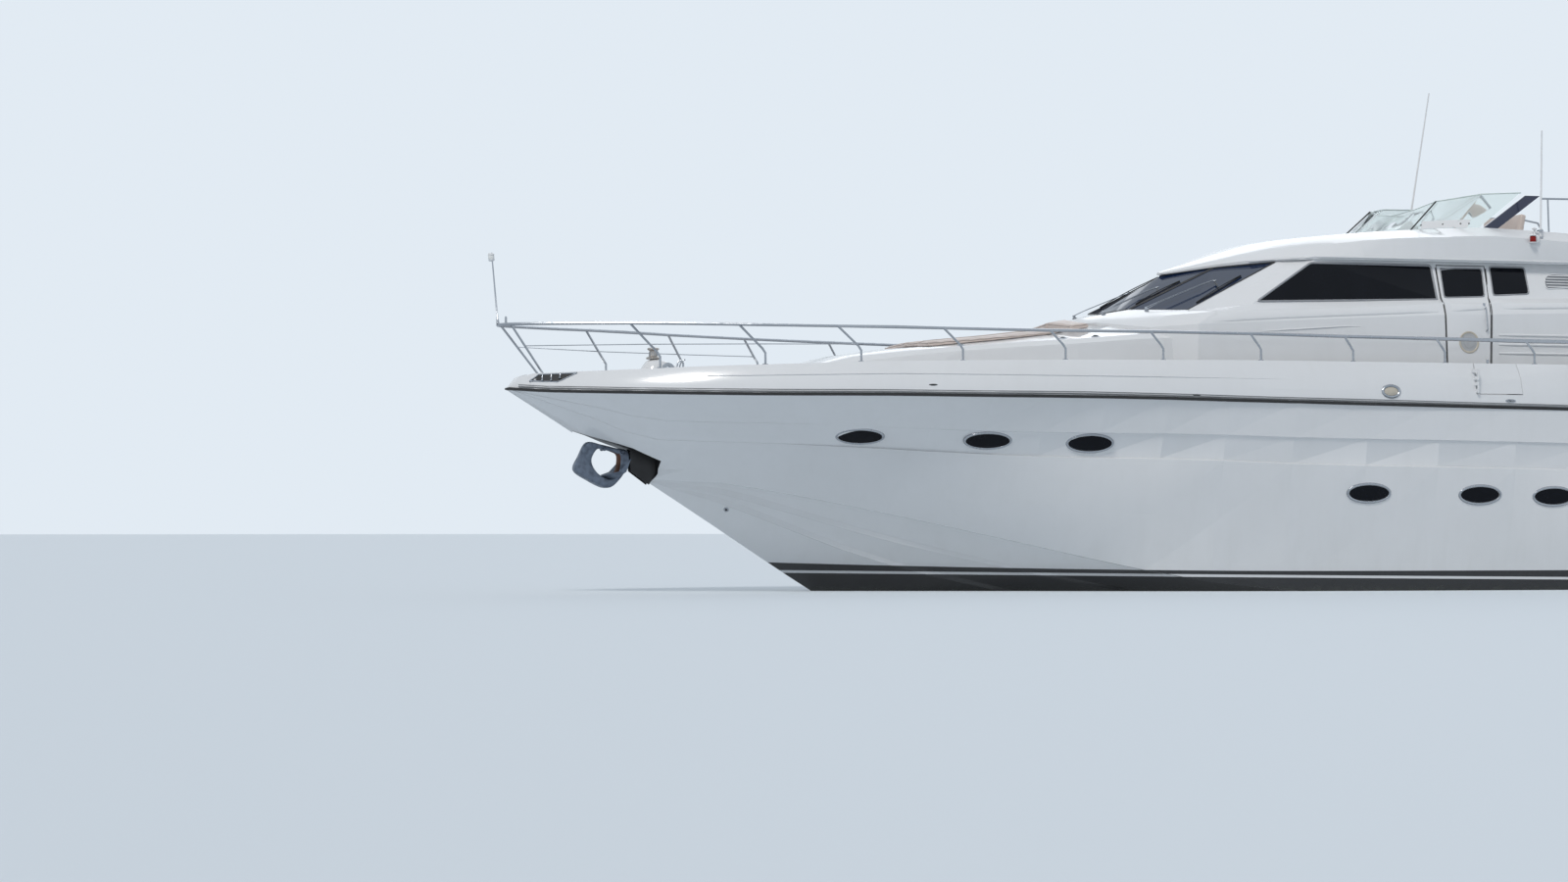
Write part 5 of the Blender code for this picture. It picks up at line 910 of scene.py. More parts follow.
class YACHT_OT_bow_gear(bpy.types.Operator):
    """Fit the fairleads, hawse rings, vents and drains of the fore part"""
    bl_idname = "yacht.bow_gear"
    bl_label = "Bow gear"

    def execute(self, context):
        hull = surface_of("hull")
        for side, sign in SIDES:
            bulwark = surface_of("bulwark_" + side)
            dark, bright, throat = meshes(3)
            # Dark skin over the notch: painted shade for its dark inside.
            conform(dark, bulwark, NOTCH, 0.003, sign)
            pipe(bright, [off_side(bulwark, s, z, sign, 0.004) for s, z in NOTCH_RIM], 0.008, 8, closed=True)
            for s, z in ((0.36, 2.865), (0.46, 2.865), (0.56, 2.89)):
                foot, normal = side_hit(bulwark, s, z, sign)
                rise = side_hit(bulwark, s + 0.02, 2.955, sign)[0] - foot
                turning(bright, [(0, 0.0), (0, 0.017), (0.012, 0.017), (0.02, 0.011), (0.035, 0.0095),
                                 (rise.length - 0.02, 0.0095), (rise.length, 0.016), (rise.length, 0.0)],
                        foot + normal * 0.012, rise.normalized(), 14)
            hawse = side_hit(bulwark, 11.83, 2.77, sign)
            ovals(bright, [(0.150, 0.100, -0.004), (0.148, 0.098, 0.008), (0.132, 0.084, 0.018),
                           (0.112, 0.066, 0.012), (0.106, 0.060, 0.001), (0.106, 0.060, -0.006)], *hawse,
                  open_top=True)
            ovals(throat, [(0.108, 0.062, 0.0), (0.104, 0.058, 0.004)], *hawse)
            as_piece(f"hawse_throat_{side}", throat, "cream", angle=60)
            gate_drain = side_hit(bulwark, 13.69, 2.655, sign)
            ovals(bright, [(0.082, 0.026, 0.0), (0.080, 0.024, 0.006), (0.066, 0.014, 0.006), (0.064, 0.012, 0.001)],
                  *gate_drain, 24, open_top=True)
            # Black ovals in the gate drain and the scuppers below: painted shade for the openings' dark insides.
            ovals(dark, [(0.067, 0.015, 0.0), (0.064, 0.012, 0.003)], *gate_drain, 24)
            for s, z in ((5.2, 2.80), (8.9, 2.69), (16.4, 2.69), (19.3, 2.69)):
                ovals(dark, [(0.060, 0.013, 0.0), (0.057, 0.011, 0.003)], *side_hit(bulwark, s, z, sign), 20)
            for s, z in THROUGH_HULLS:
                place, normal = side_hit(hull, s, z, sign)
                turning(bright, [(-0.004, 0.0), (-0.004, 0.038), (0.005, 0.036), (0.009, 0.026), (0.006, 0.018),
                                 (-0.002, 0.016), (-0.003, 0.0)], place, normal, 20)
                # Black dome in each through-hull: painted shade for its bore.
                turning(dark, [(0.0, 0.0165), (0.0035, 0.015), (0.0036, 0.0)], place, normal, 14)
            as_piece(f"side_opening_shade_{side}", dark, "black", angle=60)
            as_piece(f"side_rings_{side}", bright, "steel", angle=50)

        roof = surface_of("coachroof")
        rings, caps = meshes(2)
        for s, b in ROOF_VENTS:
            for _, sign in SIDES:
                vent = drop(roof, s, sign * b)
                turning(rings, [(0, 0.058), (0.006, 0.057), (0.010, 0.046), (0.006, 0.038), (0.0, 0.037)], *vent, 22)
                turning(caps, [(0.001, 0.040), (0.012, 0.036), (0.020, 0.022), (0.022, 0.0)], *vent, 20)
        as_piece("vent_rings", rings, "steel")
        as_piece("vent_caps", caps, "black")
        return {"FINISHED"}


class YACHT_OT_jack_lamp(bpy.types.Operator):
    """Put the lamp on the jackstaff and its stub on the rail"""
    bl_idname = "yacht.jack_lamp"
    bl_label = "Jackstaff lamp"

    def execute(self, context):
        head, low, high = at(-0.24, 0, 4.50), at(-0.15, 0, 3.64), at(-0.24, 0, 4.62)
        axis = (high - low).normalized()
        shell, lens, steel = meshes(3)
        turning(shell, [(0.0, 0.012), (0.002, 0.030), (0.012, 0.042), (0.030, 0.044), (0.032, 0.040)], head, axis, 24)
        turning(lens, [(0.030, 0.039), (0.034, 0.041), (0.060, 0.042), (0.082, 0.041), (0.086, 0.039)], head, axis, 24)
        turning(shell, [(0.084, 0.040), (0.088, 0.045), (0.104, 0.044), (0.113, 0.034), (0.116, 0.0)], head, axis, 24)
        turning(steel, [(0.0, 0.026), (0.01, 0.024), (0.03, 0.014), (0.05, 0.013)], at(-0.151, 0, 3.655), UP, 16)
        turning(steel, [(0.0, 0.016), (0.07, 0.016), (0.095, 0.013), (0.10, 0.0)], at(-0.065, 0.10, 3.655), UP, 14)
        pipe(steel, [mix(low, high, t) + Vector((0, 0.017, 0)) for t in (0.86, 0.80, 0.74)], 0.004, 6)
        for t in (0.86, 0.74):
            pipe(steel, [mix(low, high, t) + Vector((0, y, 0)) for y in (0.006, 0.019)], 0.004, 6)
        as_piece("jackstaff_lamp", shell, "gelcoat", angle=50)
        as_piece("jackstaff_lens", lens, "white_lens", angle=50)
        as_piece("jackstaff_fittings", steel, "steel", angle=50)
        return {"FINISHED"}


def chain(bm, path, wire=0.006, link=0.034, wide=0.020):
    """Links of chain along a path, every second one turned on its side."""
    lengths = [0.0]
    for a, b in zip(path, path[1:]):
        lengths.append(lengths[-1] + (b - a).length)
    count = int(lengths[-1] / (link - wire))
    for k in range(count):
        want = (k + 0.5) * (link - wire)
        i = max(j for j in range(len(lengths) - 1) if lengths[j] <= want)
        spot = mix(path[i], path[i + 1], (want - lengths[i]) / (lengths[i + 1] - lengths[i]))
        ahead = (path[i + 1] - path[i]).normalized()
        across = ahead.cross(Vector((0, 0, 1)))
        across = (across if across.length > 0.2 else ahead.cross(Vector((0, 1, 0)))).normalized()
        if k % 2:
            across = ahead.cross(across)
        half_long, half_wide = link / 2 - wire / 2, wide / 2 - wire / 2
        pipe(bm, [spot + ahead * math.cos(a) * half_long + across * math.sin(a) * half_wide for a in around(10)],
             wire / 2, 5, closed=True)


HOUSING = ((0.0, 0.0), (0.025, 0.004), (0.05, 0.028), (0.13, 0.050), (0.20, 0.085), (0.245, 0.13), (0.268, 0.19))
GYPSY = [(0.0, 0.0), (0.0, 0.085), (0.012, 0.088), (0.024, 0.060), (0.036, 0.060), (0.050, 0.088), (0.062, 0.082),
         (0.070, 0.04), (0.092, 0.032), (0.096, 0.0)]
CHAIN_RUN = ((1.98, 0.24, 2.955), (1.80, 0.21, 2.944), (1.62, 0.17, 2.944), (1.45, 0.12, 2.946))


def housing_ring(up, inset):
    """One level of the windlass housing: a rounded outline, longer and falling towards the stern."""
    ring = []
    for a in around(40):
        ahead = math.cos(a) > 0
        long = (0.27 if ahead else 0.50) - inset * (1.0 if ahead else 1.6)
        fall = 0.35 * up * max(0.0, -math.cos(a)) ** 1.5
        x = math.copysign(abs(math.cos(a)) ** 0.82, math.cos(a)) * long
        y = math.copysign(abs(math.sin(a)) ** 0.82, math.sin(a)) * (0.25 - inset * 0.95)
        ring.append(at(2.11, y, 2.9303 + up - fall) + Vector((x, 0, 0)))
    return ring


class YACHT_OT_windlass(bpy.types.Operator):
    """Shape the windlass, its gypsy, chain and foot switches"""
    bl_idname = "yacht.windlass"
    bl_label = "Windlass"

    def execute(self, context):
        bm = bmesh.new()
        loft(bm, [housing_ring(up, inset) for up, inset in HOUSING], capped=True)
        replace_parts(as_piece("windlass_housing", bm, "gelcoat", angle=40), "windlass")

        dress("capstan", "aged_steel", 0.002)
        bm = bmesh.new()
        for a in around(12):
            out = Vector((math.cos(a), math.sin(a), 0))
            pipe(bm, [at(2.06, 0, 3.245) + out * 0.0605, at(2.06, 0, 3.30) + out * 0.0565], 0.004, 6)
        turning(bm, [(0, 0.030), (0.006, 0.028), (0.010, 0.018), (0.010, 0.0)], at(2.06, 0, 3.3595), UP, 16)
        as_piece("capstan_ribs", bm, "steel", "capstan", 50)

        bm, dark = meshes(2)
        for _, sign in SIDES:
            hub = at(2.20, sign * 0.215, 3.06)
            groove = hub + Vector((0, sign * 0.030, 0))
            turning(bm, GYPSY, hub, (0, sign, 0), 26)
            for a in around(6):
                out = Vector((math.cos(a), 0, math.sin(a)))
                block(bm, (0.02, 0.024, 0.014), groove + out * 0.062, out, a, 0.003)
            path = [groove + Vector((math.cos(a), 0, math.sin(a))) * 0.066 for a in (2.9, 2.2, 1.57, 1.0, 0.4)]
            chain(bm, path + [at(s, sign * b, z) for s, b, z in CHAIN_RUN])
            block(bm, (0.16, 0.075, 0.012), at(1.42, sign * 0.11, 2.937))
            for shift in (-0.030, 0.030):
                block(bm, (0.13, 0.010, 0.045), at(1.42, sign * 0.11 + shift, 2.962))
            turning(bm, [(-0.027, 0.006), (-0.027, 0.020), (-0.01, 0.012), (0.01, 0.012), (0.027, 0.020),
                         (0.027, 0.006)], at(1.37, sign * 0.11, 2.972), ATHWART, 16)
            turning(dark, [(0, 0.052), (0.010, 0.050), (0.014, 0.040), (0.024, 0.036), (0.028, 0.026), (0.029, 0.0)],
                    at(2.95, sign * 0.16, DECK_TOP), UP, 22)
            pipe(bm, [at(2.42, sign * 0.06, 3.09), at(2.44, sign * 0.07, 3.17), at(2.50, sign * 0.07, 3.20)], 0.010, 8)
        as_piece("windlass_gypsies", bm, "steel", angle=50)
        as_piece("foot_switches", dark, "rubber", angle=50)
        return {"FINISHED"}


ANCHOR_RINGS = (          # outside s, z; eye s, z; half depth
    (1.10, 2.048, 1.24, 1.95, 0.05), (0.99, 1.86, 1.165, 1.82, 0.07), (0.925, 1.67, 1.19, 1.70, 0.10),
    (1.12, 1.53, 1.28, 1.60, 0.11), (1.38, 1.425, 1.41, 1.545, 0.12), (1.55, 1.54, 1.50, 1.60, 0.11),
    (1.68, 1.74, 1.535, 1.73, 0.08), (1.68, 1.93, 1.535, 1.87, 0.06), (1.50, 1.975, 1.46, 1.92, 0.05),
    (1.30, 2.02, 1.32, 1.955, 0.05))
CLAW_SECTION = ((-1, -0.72), (-0.90, -0.94), (-0.6, -1.0), (0.6, -1.0), (0.90, -0.9), (1, -0.6), (1, 0.6),
                (0.90, 0.9), (0.6, 1.0), (-0.6, 1.0), (-0.90, 0.94), (-1, 0.72))
POCKET_CHEEK = ((1.70, 1.962), (2.075, 1.845), (2.075, 1.625), (1.975, 1.47), (1.72, 1.655))


def closed_curve(rows, steps):
    """Smooth rows of numbers round a loop (Catmull-Rom)."""
    count = len(rows)
    out = []
    for k in range(count):
        a, b, c, d = (rows[(k + j) % count] for j in (-1, 0, 1, 2))
        for step in range(steps):
            t = step / steps
            out.append([0.5 * (2 * q + (r - p) * t + (2 * p - 5 * q + 4 * r - u) * t * t
                               + (3 * q - p - 3 * r + u) * t ** 3) for p, q, r, u in zip(a, b, c, d)])
    return out


class YACHT_OT_anchor(bpy.types.Operator):
    """Form the anchor's claw, with its shank, roller and black pocket cheeks, which are painted shade"""
    bl_idname = "yacht.anchor"
    bl_label = "Anchor"

    def execute(self, context):
        bm = bmesh.new()
        rings = [[at(mix(s0, s1, 0.5 + 0.5 * u), v * half, mix(z0, z1, 0.5 + 0.5 * u)) for u, v in CLAW_SECTION]
                 for s0, z0, s1, z1, half in closed_curve(ANCHOR_RINGS, 5)]
        loft(bm, rings + [rings[0]])
        for _, sign in SIDES:
            low = [at(s, 0.0, z) for s, z in ((1.16, 1.55), (1.40, 1.45), (1.60, 1.62))]
            high = [at(s, sign * 0.255, z) for s, z in ((1.50, 1.65), (1.60, 1.645), (1.67, 1.83))]
            loft(bm, [low, high], capped=True)
        pipe(bm, rounded([at(1.60, 0, 1.86), at(1.80, 0, 1.78), at(1.95, 0, 1.76)], 0.08), 0.034, 14)
        piece = as_piece("anchor_claw", bm, ["anchor_steel", "rust"], angle=42)
        mark_faces(piece, lambda c, n: BOW - c.x > 1.44 and c.z > 1.60 and (n.x > 0.25 or n.z < -0.5)
                   and abs(c.y) < 0.125)
        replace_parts(piece, "anchor")
        bm = bmesh.new()
        for s, z in ((1.34, 1.955), (1.60, 1.92)):
            turning(bm, [(-0.085, 0.0), (-0.085, 0.018), (-0.075, 0.024), (-0.060, 0.024), (-0.055, 0.012),
                         (0.055, 0.012), (0.060, 0.024), (0.075, 0.024), (0.085, 0.018), (0.085, 0.0)],
                    at(s, 0, z), ATHWART, 14)
        turning(bm, [(-0.045, 0.02), (-0.045, 0.045), (-0.02, 0.032), (0.02, 0.032), (0.045, 0.045), (0.045, 0.02)],
                at(1.90, 0, 1.70), ATHWART, 18)
        as_piece("anchor_fittings", bm, "anchor_steel", angle=45)
        # Black sheets at the pocket's aft end: painted shade for its dark inside.
        bm = bmesh.new()
        for _, sign in SIDES:
            sheet(bm, [at(s, sign * 0.062, z) for s, z in POCKET_CHEEK], (0, sign * 0.012, 0))
        as_piece("pocket_shade_sheets", bm, "black", angle=45)
        return {"FINISHED"}


EMBLEM_RING = ((0.158, -0.002), (0.157, 0.006), (0.146, 0.010), (0.132, 0.006), (0.128, 0.002))
EMBLEM_DISC = ((0.130, 0.0), (0.127, 0.004), (0.086, 0.005), (0.084, 0.009), (0.040, 0.012))
LOUVRE = ((14.76, 4.29), (15.28, 4.30), (15.31, 4.50), (14.88, 4.515), (14.79, 4.47), (14.74, 4.38))
LOUVRE_SLATS = ((4.325, 14.78, 15.27), (4.365, 14.77, 15.275), (4.405, 14.77, 15.28), (4.445, 14.79, 15.285),
                (4.485, 14.84, 15.29))


class YACHT_OT_house_trim(bpy.types.Operator):
    """Fit the emblem discs, louvres, side ribs, handles and grab rails of the house"""
    bl_idname = "yacht.house_trim"
    bl_label = "House trim"

    def execute(self, context):
        for side, sign in SIDES:
            body = "side_door_" + side
            door, house, brow = surface_of(body), surface_of("deckhouse"), surface_of("flybridge")
            ring, disc, pull, ribs, rim, slats, back, lip, rail = meshes(9)
            emblem = side_hit(door, 13.385, 3.50, sign)
            ovals(ring, [(r, r, rise) for r, rise in EMBLEM_RING], *emblem, 48, open_top=True)
            ovals(disc, [(r, r, rise) for r, rise in EMBLEM_DISC], *emblem, 48)
            as_piece(f"emblem_ring_{side}", ring, "cream", body, 50)
            as_piece(f"emblem_disc_{side}", disc, "pale_grey", body, 30)

            for z in (3.22, 4.02):
                block(pull, (0.034, 0.012, 0.085), off_side(door, 13.665, z, sign, 0.004))
            high, normal = side_hit(door, 13.665, 3.98, sign)
            low, _ = side_hit(door, 13.665, 3.66, sign)
            pipe(pull, rounded([high - normal * 0.004, high + normal * 0.05, low + normal * 0.05,
                                low - normal * 0.004], 0.03), 0.009, 8)
            as_piece(f"door_pull_{side}", pull, "steel", body, 50)

            for z in (3.61, 3.475, 3.35):
                pipe(ribs, [off_side(house, 13.86 + 0.16 * k, z, sign,
                                     0.006 * min(1.0, k / 2.0, (25 - k) / 2.0) - 0.012) for k in range(26)], 0.022, 8)
            as_piece(f"side_ribs_{side}", ribs, "gelcoat", angle=60)

            loop = [off_side(house, s, z, sign, 0.004) for s, z in LOUVRE]
            pipe(rim, rounded_loop(loop), 0.010, 8, closed=True)
            for z, s0, s1 in LOUVRE_SLATS:
                a, normal = side_hit(house, s0, z, sign)
                b, _ = side_hit(house, s1, z, sign)
                block(slats, ((b - a).length, 0.028, 0.007), mix(a, b, 0.5) + normal * 0.010,
                      (0, sign * 0.55, 1.0), round_by=0.003)
            # Grey sheet behind the slats: painted shade for the vent's dark inside.
            back.faces.new([back.verts.new(off_side(house, s, z, sign, 0.0015)) for s, z in LOUVRE])
            as_piece(f"louvre_rim_{side}", rim, "gelcoat", angle=50)
            as_piece(f"louvre_slats_{side}", slats, "gelcoat", angle=50)
            as_piece(f"louvre_back_shade_{side}", back, "grey_frame")

            stations = [10.5 + 0.147 * k for k in range(74)]
            pipe(lip, [off_side(brow, s, mix(4.60, 4.65, min(1.0, (s - 10.24) / 0.9)) + 0.034, sign, 0.002)
                       for s in stations], 0.014, 8)
            as_piece(f"brow_lip_{side}", lip, "gelcoat", angle=60)

            feet = [side_hit(house, s, 4.06, sign) for s in (15.3, 15.9, 16.5, 17.1, 17.7, 18.3)]
            for foot in feet:
                turning(rail, [(0.0, 0.022), (0.005, 0.021), (0.010, 0.010), (0.055, 0.009)], *foot, 14)
            pipe(rail, [place + normal * 0.055 for place, normal in feet], 0.0125)
            as_piece(f"side_grab_rail_{side}", rail, "steel", angle=50)
        return {"FINISHED"}


SHELF_TOP = table([(9.24, 3.85), (10.58, 3.93), (12.09, 4.0), (12.91, 4.05), (15.0, 4.10), (18.6, 4.13)])
SHELF_FOOT = table([(9.0, 3.69), (10.58, 3.79), (12.91, 3.91), (13.79, 3.97), (15.03, 4.0), (18.6, 4.02)])
SHELF_PROFILE = ((0.0, -0.004), (0.05, 0.010), (0.12, 0.014), (0.45, 0.018), (0.80, 0.019), (0.93, 0.012),
                 (1.0, -0.004))
BULWARK_CREASE = table([(2.3, 2.915), (4.75, 2.955), (8.0, 2.94), (11.0, 2.92)])
DOOR_FORE = table([(2.90, 13.04), (3.88, 13.03), (4.05, 13.04), (4.61, 13.06)])
DOOR_AFT = table([(2.90, 13.71), (3.88, 13.75), (4.05, 13.77), (4.61, 13.84)])


def shelf(bm, tree, stations, sign):
    """The soft ledge under the windows, faded out at its ends."""
    rings = []
    for k, s in enumerate(stations):
        fade = min(1.0, (k + 0.2) / 2.0, (len(stations) - 0.8 - k) / 2.0)
        rings.append([off_side(tree, s, mix(SHELF_TOP(s), SHELF_FOOT(s), t), sign, out * fade - 0.003 * (1 - fade))
                      for t, out in SHELF_PROFILE])
    loft(bm, rings, closed=False)


class YACHT_OT_side_creases(bpy.types.Operator):
    """Raise the ledge and crease lines along the sides and seal the doors"""
    bl_idname = "yacht.side_creases"
    bl_label = "Side creases"

    def execute(self, context):
        for side, sign in SIDES:
            body = "side_door_" + side
            house, door, bulwark = surface_of("deckhouse", "coachroof"), surface_of(body), surface_of("bulwark_" + side)
            both = surface_of("deckhouse", body)
            ledges, door_ledge, crease, seals = meshes(4)
            shelf(ledges, house, [9.45 + (12.96 - 9.45) * k / 24 for k in range(25)], sign)
            shelf(ledges, house, [13.93 + (18.55 - 13.93) * k / 26 for k in range(27)], sign)
            pipe(ledges, [off_side(house, 10.18 + 0.11 * k, mix(3.61, 3.70, min(1.0, k / 12)), sign,
                                   0.004 - 0.012 * abs(k / 7 - 1) ** 3) for k in range(15)], 0.010, 8)
            as_piece(f"side_ledges_{side}", ledges, "gelcoat", angle=50)
            shelf(door_ledge, door, [13.13 + 0.62 * k / 6 for k in range(7)], sign)
            as_piece(f"door_ledge_{side}", door_ledge, "gelcoat", body, 50)

            pipe(crease, [off_side(bulwark, 2.3 + 0.28 * k, BULWARK_CREASE(2.3 + 0.28 * k), sign,
                                   0.003 - 0.010 * max(0.0, (k - 22) / 7)) for k in range(30)], 0.008, 8)
            as_piece(f"bulwark_crease_{side}", crease, "gelcoat", angle=60)

            heights = [2.98 + 0.069 * k for k in range(24)]
            for edge, shift in ((DOOR_FORE, -0.010), (DOOR_AFT, 0.010)):
                pipe(seals, [off_side(both, edge(z) + shift, z, sign, 0.001) for z in heights], 0.0085, 6)
            as_piece(f"door_seals_{side}", seals, "rubber", angle=60)
        return {"FINISHED"}


STRIP_STATIONS = (13.24, 13.30, 13.37, 13.44, 13.50, 13.56, 13.62, 13.68, 13.73)
SCREEN_TOP = ((13.42, 0.0, 5.46), (13.48, 0.58, 5.51), (13.60, 1.02, 5.60), (14.06, 1.53, 5.68), (14.60, 1.69, 5.70))


class YACHT_OT_brow_gear(bpy.types.Operator):
    """Fit the side lights, aerial feet, fly screen strip and corner posts"""
    bl_idname = "yacht.brow_gear"
    bl_label = "Brow gear"

    def execute(self, context):
        top, screen = surface_of("flybridge"), surface_of("fly_screen")
        for side, sign in SIDES:
            shell, glass, steel, dark, strip = meshes(5)
            place, _ = side_hit(top, 14.56, 5.00, sign)
            lamp = place + Vector((0.035, sign * 0.045, 0.0))
            block(shell, (0.15, 0.05, 0.11), place + Vector((-0.01, sign * 0.015, 0.0)), round_by=0.018, segments=3)
            turning(glass, [(-0.04, 0.0), (-0.04, 0.045), (0.03, 0.045), (0.045, 0.030), (0.048, 0.0)], lamp, UP, 20)
            turning(shell, [(0.046, 0.0), (0.046, 0.052), (0.058, 0.050), (0.064, 0.036), (0.066, 0.0)], lamp, UP, 20)
            turning(shell, [(-0.055, 0.0), (-0.055, 0.050), (-0.042, 0.052), (-0.040, 0.0)], lamp, UP, 20)
            if sign > 0:
                turning(shell, [(-0.01, 0.022), (0.012, 0.022), (0.02, 0.014), (0.065, 0.014), (0.07, 0.034),
                                (0.088, 0.036), (0.10, 0.024), (0.104, 0.0)], drop(top, 14.63, 2.03)[0], UP, 20)
            spot = at(14.70, 2.08, 5.03) if sign > 0 else at(14.62, -1.88, 5.17)
            for up in (0.0, 0.10):
                turning(steel, [(-0.012, 0.030), (-0.012, 0.040), (0.012, 0.040), (0.012, 0.030)],
                        spot + Vector((-0.001 * up, 0, up)), UP, 20)
                block(steel, (0.05, 0.055, 0.018), spot + Vector((0.0, -sign * 0.045, up)))
            as_piece(f"side_light_shell_{side}", shell, "gelcoat", angle=50)
            as_piece(f"side_light_lens_{side}", glass, "red_lens" if sign > 0 else "green_lens", angle=50)
            as_piece(f"aerial_clamps_{side}", steel, "steel", angle=50)

            rows = [[side_hit(screen, s + up * 0.6, 5.165 + up, sign) for s in STRIP_STATIONS]
                    for up in (0.012, 0.070, 0.130)]
            loft(strip, [[p + n * 0.004 for p, n in line] for line in rows], closed=False)
            as_piece(f"screen_strip_{side}", strip, "gelcoat", angle=60)
            for k in (0, 3, 6, 8):
                place, normal = rows[1][k]
                turning(dark, [(0.0, 0.013), (0.004, 0.012), (0.006, 0.008), (0.0065, 0.0)], place + normal * 0.005,
                        normal, 14)
            foot, head = at(13.12, sign * 1.12, 5.15), at(13.60, sign * 1.02, 5.60)
            pipe(dark, [mix(foot, head, t) + Vector((0.012, sign * 0.010, 0.0)) for t in (0.0, 0.5, 1.0)], 0.011, 8)
            as_piece(f"screen_joint_{side}", dark, "black", angle=50)
        bm = bmesh.new()
        path = [at(s, b, z) for s, b, z in reversed(SCREEN_TOP)] + [at(s, -b, z) for s, b, z in SCREEN_TOP[1:]]
        pipe(bm, [p + Vector((-0.006, 0, 0.0)) for p in path], 0.010, 8)
        as_piece("screen_top_edge", bm, "clear_edge", angle=50)
        return {"FINISHED"}


class YACHT_OT_arch_gear(bpy.types.Operator):
    """Set the domes, lights and horns on the arch"""
    bl_idname = "yacht.arch_gear"
    bl_label = "Arch gear"

    def execute(self, context):
        arch = surface_of("radar_arch")
        shell, steel, lens = meshes(3)
        radius = 0.21
        dome = [(-0.02, radius * 0.55), (0.02, radius * 0.6), (0.05, radius * 0.92), (0.08, radius), (0.18, radius)]
        for k in range(1, 9):
            a = math.pi / 2 * k / 8
            dome.append((0.18 + radius * 0.85 * math.sin(a), radius * math.cos(a)))
        for _, sign in SIDES:
            turning(shell, dome, drop(arch, 18.42, sign * 0.95)[0], UP, 32)
        place, _ = drop(arch, 18.56, 0.42)
        turning(steel, [(0.0, 0.022), (0.01, 0.02), (0.02, 0.010), (0.62, 0.010)], place, UP, 12)
        turning(lens, [(0.62, 0.026), (0.66, 0.028), (0.70, 0.026), (0.71, 0.0)], place, UP, 18)
        turning(shell, [(0.60, 0.0), (0.60, 0.030), (0.62, 0.030), (0.62, 0.0)], place, UP, 18)
        for b in (-0.36, -0.46):
            place, _ = drop(arch, 18.40, b)
            turning(steel, [(-0.16, 0.0), (-0.15, 0.020), (-0.10, 0.022), (0.05, 0.026), (0.16, 0.052), (0.165, 0.048),
                            (0.04, 0.020), (0.03, 0.0)], place + Vector((0, 0, 0.065)), (1, 0, 0), 22)
            block(steel, (0.05, 0.03, 0.06), place + Vector((0, 0, 0.028)), round_by=0.005)
        for b in (1.30, 0.4, -0.4, -1.30):
            under, _, _, _ = arch.ray_cast(at(18.5, b, 6.0), Vector(UP))
            if under is not None:
                turning(lens, [(0.0, 0.045), (0.010, 0.044), (0.014, 0.030), (0.015, 0.0)], under, (0, 0, -1), 20)
        as_piece("arch_domes", shell, "gelcoat", angle=50)
        as_piece("arch_steel", steel, "steel", angle=45)
        as_piece("arch_lamps", lens, "white_lens", angle=45)
        return {"FINISHED"}


WHEEL_B = -0.60         # half-breadth of the wheel, to starboard


class YACHT_OT_helm(bpy.types.Operator):
    """Fit the instruments, throttles and wheel trim of the upper helm"""
    bl_idname = "yacht.helm"
    bl_label = "Upper helm"

    def execute(self, context):
        normal = Vector((-0.38, 0, 0.19)).normalized()      # square to the console's sloping face
        steel, dark, glass, cap = meshes(4)

        def on_panel(b, t):
            return at(mix(14.05, 13.86, t), b, mix(4.92, 5.30, t))

        def on_shelf(b, t):
            return mix(at(13.86, b, 5.30), at(13.68, b, 5.34), t)
        for b in (-1.05, -0.88, -0.32, -0.15):
            place = on_panel(b, 0.82)
            turning(steel, [(0.0, 0.052), (0.010, 0.051), (0.014, 0.044), (0.010, 0.041)], place, normal, 24)
            turning(glass, [(0.006, 0.0425), (0.010, 0.041), (0.0115, 0.02), (0.012, 0.0)], place, normal, 24)
        up = Vector((0.04, 0, 0.18)).normalized()
        compass = on_shelf(WHEEL_B, 0.5)
        block(dark, (0.12, 0.20, 0.05), compass + up * 0.028, up, round_by=0.010)
        turning(glass, [(0.0, 0.05), (0.03, 0.048), (0.045, 0.03), (0.05, 0.0)], compass + up * 0.05, up, 24)
        for k in range(7):
            block(dark, (0.020, 0.030, 0.012), on_panel(-1.08 + 0.052 * k, 0.50) + normal * 0.004, normal,
                  round_by=0.003)
        for shift in (-0.03, 0.03):
            place = on_shelf(-0.10 + shift, 0.45)
            block(steel, (0.10, 0.03, 0.02), place + up * 0.008, up, round_by=0.006)
            pipe(steel, [place + up * 0.01, place + up * 0.11 + Vector((0.02, 0, 0))], 0.007, 8)
            turning(dark, [(-0.022, 0.0), (-0.020, 0.014), (0.0, 0.019), (0.020, 0.014), (0.022, 0.0)],
                    place + up * 0.125 + Vector((0.023, 0, 0)), ATHWART, 16)
        as_piece("helm_bezels", steel, "steel", angle=45)
        as_piece("helm_switches", dark, "black", angle=45)
        as_piece("helm_glasses", glass, "side_glass", angle=45)
        turning(cap, [(-0.01, 0.052), (0.0, 0.052), (0.006, 0.045), (0.010, 0.030), (0.012, 0.0)],
                at(13.955, WHEEL_B, 5.11) + normal * 0.12, normal, 26)
        as_piece("wheel_cap", cap, "steel", "fly_wheel", 45)
        return {"FINISHED"}


def cleat(bm, place, along, length):
    """A horned mooring cleat on two feet."""
    along, up = Vector(along).normalized(), Vector(UP)
    half = length / 2
    for shift in (-0.22, 0.22):
        foot = place + along * length * shift
        turning(bm, [(-0.002, 0.028), (0.006, 0.026), (0.014, 0.014), (0.045, 0.012), (0.055, 0.010)], foot, up, 14)
    points = [place + along * half * t + up * (0.058 + 0.010 * t * t) for t in (-1, -0.8, -0.45, 0, 0.45, 0.8, 1)]
    side = along.cross(up)
    loft(bm, [[p + side * math.cos(a) * 0.013 * k + up * math.sin(a) * 0.011 * k for a in around(10)]
              for p, k in zip(points, (0.55, 0.8, 1.0, 1.05, 1.0, 0.8, 0.55))], capped=True)


